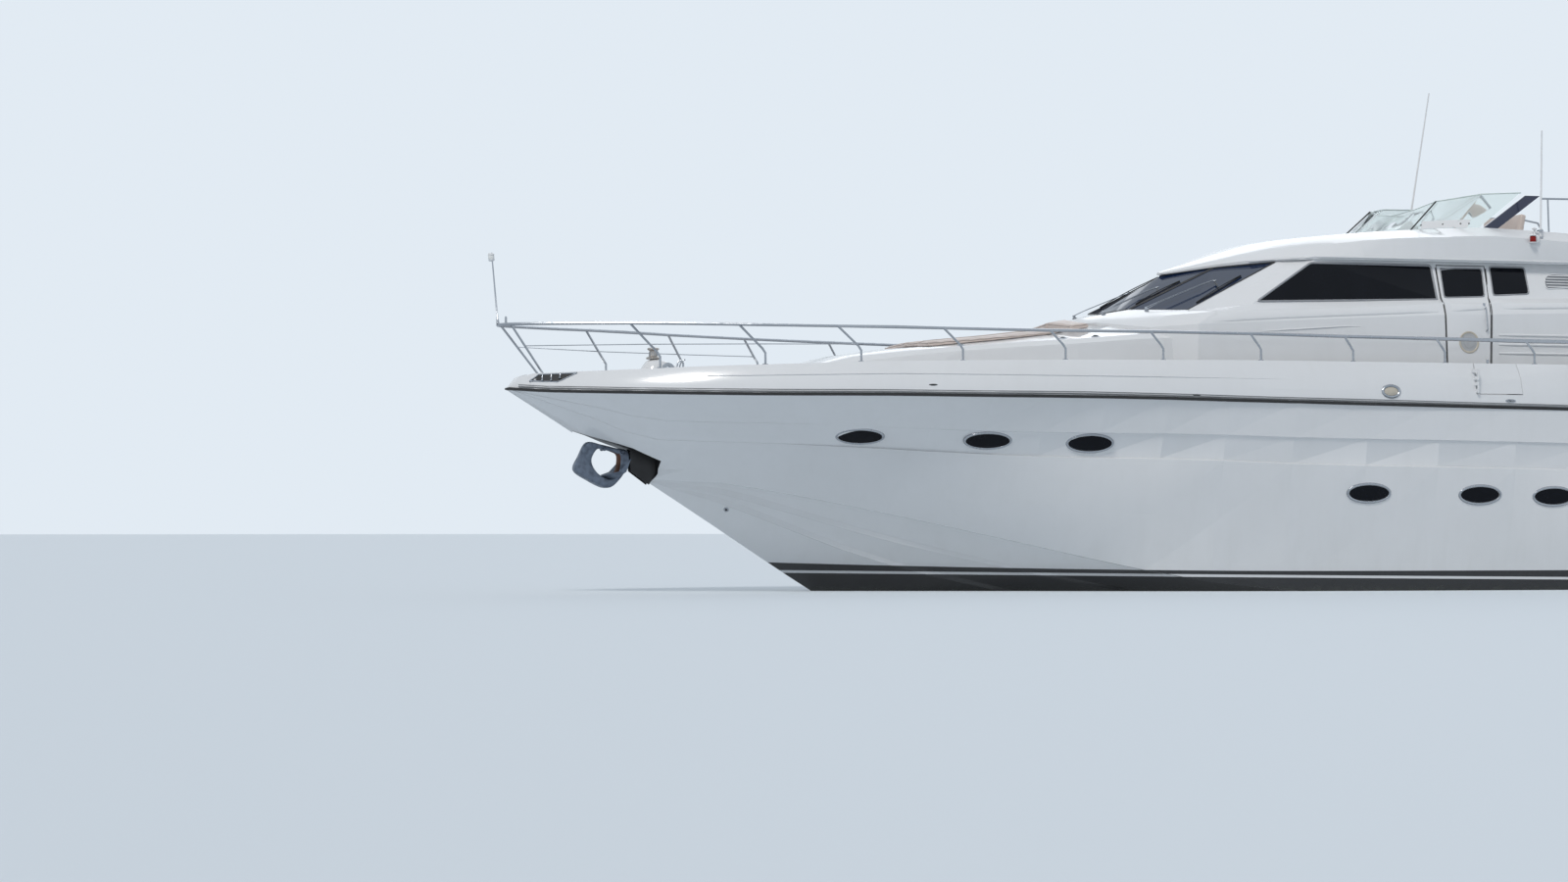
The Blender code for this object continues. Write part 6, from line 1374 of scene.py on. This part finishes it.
def strip_panel(bm, tree, stations, inner, outer, lift, sign, edge=0.010):
    """A raised panel between two lines b(s), with its rim turned down."""
    rows = []
    for s in stations:
        b0, b1 = inner(s), outer(s)
        rows.append([(s, b, up) for b, up in ((b0, -0.002), (b0, lift * 0.7), (b0 + edge, lift),
                                              (mix(b0, b1, 0.5), lift), (b1 - edge, lift), (b1, lift * 0.7),
                                              (b1, -0.002))])
    first = [(s - edge, b, min(up, -0.002)) for s, b, up in rows[0]]
    last = [(s + edge, b, min(up, -0.002)) for s, b, up in rows[-1]]
    loft(bm, [[drop(tree, s, sign * b)[0] + Vector((0, 0, up)) for s, b, up in line] for line in [first, *rows, last]],
         closed=False)


FOOT_B = table([(0.45, 0.28), (1.35, 0.96), (2.3, 1.46), (3.29, 1.81), (4.56, 2.16), (5.88, 2.41), (7.24, 2.58),
                (8.65, 2.68), (10.09, 2.74), (14.66, 2.76), (18.0, 2.74), (21.0, 2.68)])
TRUNK_B = table([(4.0, 1.08), (4.6, 1.34), (5.3, 1.42), (6.0, 1.55), (6.8, 1.76), (7.6, 1.98), (8.5, 2.16),
                 (9.2, 2.40), (12.95, 2.42), (15.2, 2.42), (18.7, 2.36), (21.0, 1.75)])


SIDE_DECKS = ((4.15, 6.6), (6.75, 9.0), (9.3, 12.8), (13.95, 16.3), (16.45, 18.6))
FORE_DECKS = ((1.15, 1.78, 0.06), (2.75, 3.08, 0.42), (3.1, 3.8, 0.40))        # fore, aft, inner edge


class YACHT_OT_decks(bpy.types.Operator):
    """Lay the nonskid panels forward and the teak aft"""
    bl_idname = "yacht.decks"
    bl_label = "Deck panels"

    def execute(self, context):
        deck = surface_of("deck")
        for side, sign in SIDES:
            bm = bmesh.new()
            for s0, s1 in SIDE_DECKS:
                strip_panel(bm, deck, [s0 + (s1 - s0) * k / 9 for k in range(10)],
                            lambda s: max(TRUNK_B(s), TRUNK_B(s + 0.1)) + 0.05,
                            lambda s: FOOT_B(s) - 0.045, 0.004, sign)
            for s0, s1, b0 in FORE_DECKS:
                strip_panel(bm, deck, [s0 + (s1 - s0) * k / 6 for k in range(7)], lambda s, b0=b0: b0,
                            lambda s: FOOT_B(s) - 0.05, 0.004, sign)
            as_piece(f"nonskid_panels_{side}", bm, "nonskid", angle=50)

        cockpit, platform, stairs = meshes(3)
        block(cockpit, (2.28, 4.92, 0.012), at(19.86, 0, 2.686), round_by=0.003)
        as_piece("cockpit_teak", cockpit, "teak")
        level = 0.4595                                  # just under the platform's top
        arc = []
        for k in range(7):
            a = math.pi / 2 * k / 6
            arc.append((25.0 - 0.55 - 0.06 + 0.49 * math.sin(a), 2.62 - 0.55 - 0.06 + 0.49 * math.cos(a)))
        outline = [(23.36, 2.50)] + arc + [(s, -b) for s, b in reversed(arc)] + [(23.36, -2.50)]
        sheet(platform, [at(s, b, level) for s, b in outline], (0, 0, 0.010), 0.003)
        as_piece("platform_teak", platform, "teak")
        rise = (2.68 - 0.46) / 8
        for _, sign in SIDES:
            for k in range(7):
                block(stairs, (0.20, 0.64, 0.010), at(22.77 - k * 0.26, sign * 2.125, 0.4645 + (k + 1) * rise),
                      round_by=0.002)
        as_piece("stair_teak", stairs, "teak")
        return {"FINISHED"}


STAIR_RAIL = ((21.25, 2.74), (21.25, 3.16), (21.9, 2.62), (22.75, 1.66), (22.75, 0.98))


class YACHT_OT_deck_gear(bpy.types.Operator):
    """Fit cleats, locker ring, stern gear, exhausts, ladder and zincs"""
    bl_idname = "yacht.deck_gear"
    bl_label = "Deck gear"

    def execute(self, context):
        size = context.scene.yacht_fittings.cleat_length
        deck = surface_of("deck")
        cleats, ring, rails, rims, bore_shades, hatch, latches, anodes = meshes(8)
        for _, sign in SIDES:
            for s, b, lean in ((1.45, 0.62, 0.45), (3.6, 1.62, 0.28), (11.83, 2.66, 0.0), (18.9, 2.60, 0.0)):
                cleat(cleats, drop(deck, s, sign * b)[0], (1, -sign * lean, 0), size)
            cleat(cleats, at(24.55, sign * 2.2, 0.4705), (1, 0, 0), size * 0.85)
            cleat(cleats, at(21.9, sign * 1.62, 2.6805), (1, 0, 0), size * 0.9)

            path = [at(s, sign * 2.66, z) for s, z in STAIR_RAIL]
            pipe(rails, rounded(path, 0.12, 6), 0.016)
            pipe(rails, [at(22.3, sign * 2.66, 1.50), at(22.3, sign * 2.66, 2.17)], 0.011, 8)

            exhaust = at(22.905, sign * 2.02, 0.20)
            turning(rims, [(-0.02, 0.0), (-0.02, 0.125), (0.008, 0.125), (0.016, 0.112), (0.012, 0.095),
                           (-0.015, 0.092)], exhaust, ASTERN, 30)
            # Black disc inside each exhaust rim: painted shade for the pipe's dark bore.
            turning(bore_shades, [(-0.012, 0.094), (-0.010, 0.06), (-0.010, 0.0)], exhaust, ASTERN, 26)
            turning(anodes, [(-0.005, 0.0), (-0.005, 0.075), (0.015, 0.070), (0.024, 0.045), (0.025, 0.0)],
                    at(22.91, sign * 0.55, -0.28), ASTERN, 24)

        turning(ring, [(0.0, 0.036), (0.004, 0.035), (0.005, 0.028), (0.002, 0.026), (0.002, 0.0)],
                at(3.22, 0, 2.9301), UP, 24)
        pipe(ring, [at(3.22, 0.018, 2.935), at(3.235, 0.012, 2.936), at(3.235, -0.012, 2.936),
                    at(3.22, -0.018, 2.935)], 0.0035, 6)
        for b in (-0.20, 0.20):
            pipe(hatch, [at(24.90, b, PLATFORM_TOP), at(24.93, b, 0.480)], 0.012, 8)
        block(hatch, (0.34, 0.50, 0.006), at(24.70, 0, 0.4725), round_by=0.002)
        for b in (-0.22, 0.22):
            turning(hatch, [(0.0, 0.020), (0.006, 0.018), (0.010, 0.008), (0.011, 0.0)], at(24.84, b, PLATFORM_TOP),
                    UP, 14)
        for b in (-0.9, 0.9):
            block(latches, (0.012, 0.11, 0.05), at(22.91, b, 0.70))
        as_piece("mooring_cleats", cleats, "steel", angle=50)
        as_piece("locker_ring", ring, "steel", "locker_lid", 45)
        as_piece("stair_rails", rails, "steel", angle=50)
        as_piece("exhaust_rings", rims, "steel", angle=50)
        as_piece("exhaust_bore_shade", bore_shades, "black", angle=50)
        as_piece("ladder_hatch", hatch, "steel", angle=50)
        as_piece("lid_latches", latches, "steel", "garage_lid", 50)
        as_piece("transom_anodes", anodes, "anode", angle=45)
        return {"FINISHED"}


# Padded pieces

def moulded(bm, cuts, place):
    """Adds a cube with divided faces, each point moved by place(x, y, t), all from 0 to 1."""
    cube = bmesh.new()
    bmesh.ops.create_cube(cube, size=1.0)
    bmesh.ops.subdivide_edges(cube, edges=cube.edges[:], cuts=cuts, use_grid_fill=True)
    for v in cube.verts:
        v.co = place(v.co.x + 0.5, v.co.y + 0.5, v.co.z + 0.5)
    mesh = bpy.data.meshes.new("block")
    cube.to_mesh(mesh)
    cube.free()
    bm.from_mesh(mesh)
    bpy.data.meshes.remove(mesh)


def slab_pad(bm, s, b, low, high, cuts):
    """A closed block over a patch of plan; low and high give its heights at (s, b)."""
    def place(x, y, t):
        here_s, here_b = mix(s[1], s[0], x), mix(b[0], b[1], y)
        return at(here_s, here_b, mix(low(here_s, here_b), high(here_s, here_b), t))
    moulded(bm, cuts, place)


def quad_pad(bm, corners, b, cuts):
    """A closed block across the boat; corners are (s, z): low fore, low aft, high aft, high fore."""
    low_fore, low_aft, high_aft, high_fore = corners

    def place(x, y, t):
        low = [mix(c, a, x) for a, c in zip(low_fore, low_aft)]
        high = [mix(c, a, x) for a, c in zip(high_fore, high_aft)]
        return at(mix(low[0], high[0], t), mix(b[0], b[1], y), mix(low[1], high[1], t))
    moulded(bm, cuts, place)


def swell(piece, held, cap, pressure=4.0, frames=20):
    """Blows the piece up as a sewn cover, its held points still, no point further than cap."""
    mesh = piece.data
    start = [v.co.copy() for v in mesh.vertices]
    still = piece.vertex_groups.new(name="held")
    still.add([k for k, p in enumerate(start) if held(p)], 1.0, "REPLACE")
    cloth = piece.modifiers.new("swell", "CLOTH")
    cloth.settings.use_pressure = True
    cloth.settings.uniform_pressure_force = pressure
    cloth.settings.effector_weights.gravity = 0.0
    cloth.settings.vertex_group_mass = "held"
    cloth.settings.quality = 4
    cloth.collision_settings.use_self_collision = False
    cloth.collision_settings.use_collision = False
    cloth.point_cache.frame_start = 1
    cloth.point_cache.frame_end = frames
    scene = bpy.context.scene
    for frame_number in range(1, frames + 1):
        scene.frame_set(frame_number)
    done = piece.evaluated_get(bpy.context.evaluated_depsgraph_get())
    reached = [v.co.copy() for v in done.data.vertices]
    piece.modifiers.remove(cloth)
    scene.frame_set(1)
    for k, (a, c) in enumerate(zip(start, reached)):
        shift = c - a
        if not all(math.isfinite(n) for n in shift):
            raise RuntimeError(f"{piece.name}: the simulation broke up")
        if shift.length > cap:
            shift = shift.normalized() * cap
        mesh.vertices[k].co = a + shift
    piece.vertex_groups.remove(still)


def padded_piece(name, bm, node, held, voxel, cap, soften=4):
    """Remeshes and swells a rough block into a cushion that stands for its node."""
    bmesh.ops.recalc_face_normals(bm, faces=bm.faces)
    rough = bpy.data.meshes.new(name + "_rough")
    bm.to_mesh(rough)
    bm.free()
    body = link_object(name, rough)
    remesh = body.modifiers.new("voxels", "REMESH")
    remesh.mode = "VOXEL"
    remesh.voxel_size = voxel
    even = bpy.data.meshes.new_from_object(body.evaluated_get(bpy.context.evaluated_depsgraph_get()))
    bpy.data.objects.remove(body)
    bpy.data.meshes.remove(rough)
    even.name = name
    bm = bmesh.new()
    bm.from_mesh(even)
    for _ in range(soften):
        free = [v for v in bm.verts if not held(v.co)]
        bmesh.ops.smooth_vert(bm, verts=free, factor=0.5, use_axis_x=True, use_axis_y=True, use_axis_z=True)
    bm.to_mesh(even)
    bm.free()
    even.materials.clear()
    even.materials.append(MATERIALS["vinyl"])
    even.polygons.foreach_set("use_smooth", [True] * len(even.polygons))
    piece = link_object(name, even)
    swell(piece, held, cap)
    soft = piece.modifiers.new("fine cover", "SUBSURF")
    soft.levels = soft.render_levels = 1
    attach(piece, "boat")
    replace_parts(piece, node)
    return piece


def piping(bm, piece, s, spans, height, radius=0.06):
    """Cords sewn round a cushion's panels, pulled to the cover's nearest surface."""
    tree = BVHTree.FromPolygons([v.co for v in piece.data.vertices], [list(p.vertices) for p in piece.data.polygons])
    for span in spans:
        path = []
        for p in ring_points(s, span, height, radius):
            near, normal, _, _ = tree.find_nearest(p)
            path.append(near + normal * 0.002)
        pipe(bm, path, 0.0065, 6, closed=True)


def ring_points(s, b, height, radius, inset=0.006, step=0.05):
    """Points round a patch of plan with rounded corners, at heights read from (s, b)."""
    s0, s1, b0, b1 = s[0] + inset, s[1] - inset, b[0] + inset, b[1] - inset
    points = []
    for cs, cb, quarter in ((s1, b1, 0), (s0, b1, 1), (s0, b0, 2), (s1, b0, 3)):
        mid_s = cs - radius if cs == s1 else cs + radius
        mid_b = cb - radius if cb == b1 else cb + radius
        for k in range(4):
            a = math.pi / 2 * (quarter + k / 3)
            points.append((mid_s + radius * math.cos(a), mid_b + radius * math.sin(a)))
    path = []
    for (s_a, b_a), (s_b, b_b) in zip(points, points[1:] + points[:1]):
        parts = max(1, int(math.hypot(s_b - s_a, b_b - b_a) / step))
        for j in range(parts):
            here_s, here_b = mix(s_a, s_b, j / parts), mix(b_a, b_b, j / parts)
            path.append(at(here_s, here_b, height(here_s, here_b)))
    return path


PADS = (                # s, spans across and heights of the pads; back holds the corners of a backrest
    dict(name="fly_cushion", node="fly_sunpad", s=(19.02, 20.68), cuts=8, foot=4.963, held=4.975, voxel=0.024,
         cap=0.012, spans=((-1.33, -0.458), (-0.437, 0.437), (0.458, 1.33)),
         top=lambda s, b: 5.086, seam=lambda s, b: 5.08),
    dict(name="helm_bench", node="helm_seat", s=(14.965, 15.47), cuts=6, foot=5.07, held=5.082, voxel=0.016,
         cap=0.010, soften=3, spans=((-1.18, -0.612), (-0.588, -0.02)),
         back=((15.50, 5.10), (15.585, 5.10), (15.662, 5.54), (15.578, 5.555)),
         top=lambda s, b: 5.226 + 0.03 * (s - 14.95), seam=lambda s, b: 5.225 + 0.03 * (s - 14.95)),
    dict(name="aft_cushion", node="aft_sunpad", s=(21.27, 22.33), cuts=8, foot=2.687, held=2.70, voxel=0.022,
         cap=0.011, spans=((-1.48, -0.508), (-0.487, 0.487), (0.508, 1.48)),
         top=lambda s, b: 2.806, seam=lambda s, b: 2.80),
    dict(name="cockpit_bench", node="cockpit_sofa", s=(20.17, 20.87), cuts=8, foot=2.963, held=2.975, voxel=0.020,
         cap=0.011, spans=((-1.43, -0.49), (-0.468, 0.468), (0.49, 1.43)),
         back=((20.93, 2.99), (21.12, 2.99), (21.178, 3.44), (21.065, 3.455)),
         top=lambda s, b: 3.086 + 0.02 * (s - 20.15), seam=lambda s, b: 3.084 + 0.02 * (s - 20.15)),
)


class YACHT_OT_cushions(bpy.types.Operator):
    """Sew and fill the cushions of the foredeck, upper deck and cockpit"""
    bl_idname = "yacht.cushions"
    bl_label = "Cushions"

    def execute(self, context):
        roof = surface_of("coachroof")
        seams, boxes = meshes(2)

        def on_roof(s, b):
            return drop(roof, s, b)[0].z + 0.004

        def near_roof(p):
            return p.z < on_roof(BOW - p.x, p.y) + 0.012

        # Foredeck pad in panels across, with its backrest
        count = context.scene.yacht_fittings.seat_seams + 1
        edge, gap = 0.905, 0.018
        panels = [(-edge + 2 * edge * k / count + gap, -edge + 2 * edge * (k + 1) / count - gap)
                  for k in range(count)]
        for name, node, short, s, spans, voxel, cap, corner in (
                ("foredeck_cushion", "foredeck_sunpad", 0.040, (5.765, 7.835), panels, 0.022, 0.016, 0.06),
                ("foredeck_backrest", "sunpad_backrest", 0.055, (7.912, 8.208), ((-0.868, -0.02), (0.02, 0.868)),
                 0.018, 0.012, 0.05)):
            cover = surface_of(node)

            def top(s, b):
                return drop(cover, s, max(-0.84, min(0.84, b)))[0].z - short
            bm = bmesh.new()
            for span in spans:
                slab_pad(bm, s, span, on_roof, top, 12)
            pad = padded_piece(name, bm, node, near_roof, voxel, cap)
            piping(seams, pad, s, spans, lambda s, b: top(s, b) - 0.004, corner)

        # Upper deck and cockpit pads on their boxes: sunpad, helm bench, aft sunpad and sofa
        for size, place in (((1.68, 2.68, 0.155), at(19.85, 0, 4.882)),
                            ((0.60, 1.18, 0.262), at(15.275, -0.60, 4.935)),
                            ((0.96, 2.86, 0.272), at(20.655, 0, 2.820))):
            block(boxes, size, place, round_by=0.012)
        for pad in PADS:
            bm = bmesh.new()
            for span in pad["spans"]:
                slab_pad(bm, pad["s"], span, lambda s, b: pad["foot"], pad["top"], pad["cuts"])
                if "back" in pad:
                    quad_pad(bm, pad["back"], span, pad["cuts"])
            held = pad["held"]
            piece = padded_piece(pad["name"], bm, pad["node"], lambda p: p.z < held, pad["voxel"], pad["cap"],
                                 pad.get("soften", 4))
            piping(seams, piece, pad["s"], pad["spans"], pad["seam"])
        as_piece("seat_boxes", boxes, "gelcoat", angle=50)
        as_piece("cushion_piping", seams, "piping", angle=60)
        return {"FINISHED"}


CAMERA_PLACE = (26.97, 53.54, 0.90)
CAMERA_TURN = 19.0                          # degrees from square abeam
HORIZON_DROP, FOCAL_PIXELS = 87.0, 4150.0   # the horizon under the picture's middle, and the lens, in pixels
FLOOR_SIZE, FLOOR_GLOW = 400.0, 0.25


def seen_rays(nodes):
    """1 for the rays that show the background: camera, glossy and transmission rays"""
    path = nodes.add("ShaderNodeLightPath")
    seen = nodes.maths("MAXIMUM", path.outputs["Is Camera Ray"], path.outputs["Is Transmission Ray"])
    return nodes.maths("MAXIMUM", seen, path.outputs["Is Glossy Ray"])


class YACHT_OT_stage(bpy.types.Operator):
    """Set the floor at the waterline, the soft light and the camera"""
    bl_idname = "yacht.stage"
    bl_label = "Stage"

    def execute(self, context):
        scene = context.scene
        settings = scene.yacht_stage
        mat, n, bsdf = new_material("floor_paint", tuple(settings.floor), 0.75)
        glow = n.add("ShaderNodeEmission", {"Color": (*settings.floor, 1), "Strength": 1.0})
        lit = n.add("ShaderNodeMixShader", {0: n.maths("MULTIPLY", seen_rays(n), FLOOR_GLOW),
                                            1: bsdf.outputs[0], 2: glow.outputs[0]})
        n.tree.links.new(lit.outputs[0], n.tree.nodes["Material Output"].inputs["Surface"])
        bm = bmesh.new()
        bmesh.ops.create_grid(bm, x_segments=2, y_segments=2, size=FLOOR_SIZE)
        mesh = bpy.data.meshes.new("floor")
        bm.to_mesh(mesh)
        bm.free()
        mesh.materials.append(mat)
        link_object("floor", mesh)

        world = bpy.data.worlds.new("soft studio")
        scene.world = world
        world.use_nodes = True
        w = Nodes(world.node_tree)
        back = world.node_tree.nodes["Background"]
        seen = seen_rays(w)
        z = w.add("ShaderNodeSeparateXYZ", {0: w.add("ShaderNodeTexCoord").outputs["Generated"]}).outputs[2]
        lift = w.ramp(z, -0.05, 0.7)
        tone = w.blend(lift, (0.90, 0.93, 0.96, 1), (0.62, 0.72, 0.86, 1))
        w.tree.links.new(w.blend(seen, tone, (0.76, 0.83, 0.90, 1)), back.inputs["Color"])
        strength = w.blend(seen, (settings.sky_level,) * 3 + (1,), (1, 1, 1, 1))
        w.tree.links.new(strength, back.inputs["Strength"])

        for name, towards, energy, spread, color in (
                ("high key", (0.42, 0.50, 0.80), settings.key_power, 14.0, (1.0, 0.96, 0.91)),
                ("low fill", (-0.5, -0.7, 0.45), settings.fill_power, 40.0, (0.93, 0.96, 1.0))):
            data = bpy.data.lights.new(name, "SUN")
            data.energy = energy
            data.angle = math.radians(spread)
            data.color = color
            link_object(name, data).rotation_euler = Vector(towards).to_track_quat("Z", "Y").to_euler()

        data = bpy.data.cameras.new("photo view")
        data.sensor_width = 36.0
        data.lens = settings.lens
        data.clip_end = 2000.0
        camera = link_object("photo view", data)
        camera.location = CAMERA_PLACE
        turn, pitch = math.radians(CAMERA_TURN), math.atan2(HORIZON_DROP, FOCAL_PIXELS)
        ahead = Vector((-math.sin(turn) * math.cos(pitch), -math.cos(turn) * math.cos(pitch), math.sin(pitch)))
        camera.rotation_euler = ahead.to_track_quat("-Z", "Y").to_euler()
        scene.camera = camera
        scene.view_settings.view_transform = "Standard"
        return {"FINISHED"}


OPERATORS = (YACHT_OT_materials, YACHT_OT_hull, YACHT_OT_fixed_parts, YACHT_OT_portholes,
             YACHT_OT_window_frames, YACHT_OT_wipers, YACHT_OT_rub_lines, YACHT_OT_bow_gear,
             YACHT_OT_jack_lamp, YACHT_OT_windlass, YACHT_OT_anchor, YACHT_OT_house_trim,
             YACHT_OT_side_creases, YACHT_OT_brow_gear, YACHT_OT_arch_gear, YACHT_OT_helm,
             YACHT_OT_decks, YACHT_OT_deck_gear, YACHT_OT_cushions, YACHT_OT_stage)


class YACHT_PT_dressing(bpy.types.Panel):
    bl_label = "Yacht dressing"
    bl_idname = "YACHT_PT_dressing"
    bl_space_type = "VIEW_3D"
    bl_region_type = "UI"
    bl_category = "Yacht"

    def draw(self, context):
        layout = self.layout
        for group_name, _ in GROUPS:
            settings = getattr(context.scene, group_name)
            box = layout.box()
            for key in settings.bl_rna.properties.keys():
                if key not in ("rna_type", "name"):
                    box.prop(settings, key)
        for operator in OPERATORS:
            layout.operator(operator.bl_idname)


GROUPS = (("yacht_colours", YachtColours), ("yacht_fittings", YachtFittings), ("yacht_stage", YachtStage))


def register():
    for name, kind in GROUPS:
        bpy.utils.register_class(kind)
        setattr(bpy.types.Scene, name, PointerProperty(type=kind))
    for kind in (*OPERATORS, YACHT_PT_dressing):
        bpy.utils.register_class(kind)


def unregister():
    for kind in (YACHT_PT_dressing, *reversed(OPERATORS)):
        bpy.utils.unregister_class(kind)
    for name, kind in reversed(GROUPS):
        delattr(bpy.types.Scene, name)
        bpy.utils.unregister_class(kind)


def main():
    register()
    for operator in OPERATORS:
        group_name, action = operator.bl_idname.split(".")
        getattr(getattr(bpy.ops, group_name), action)()


if __name__ == "__main__":
    main()
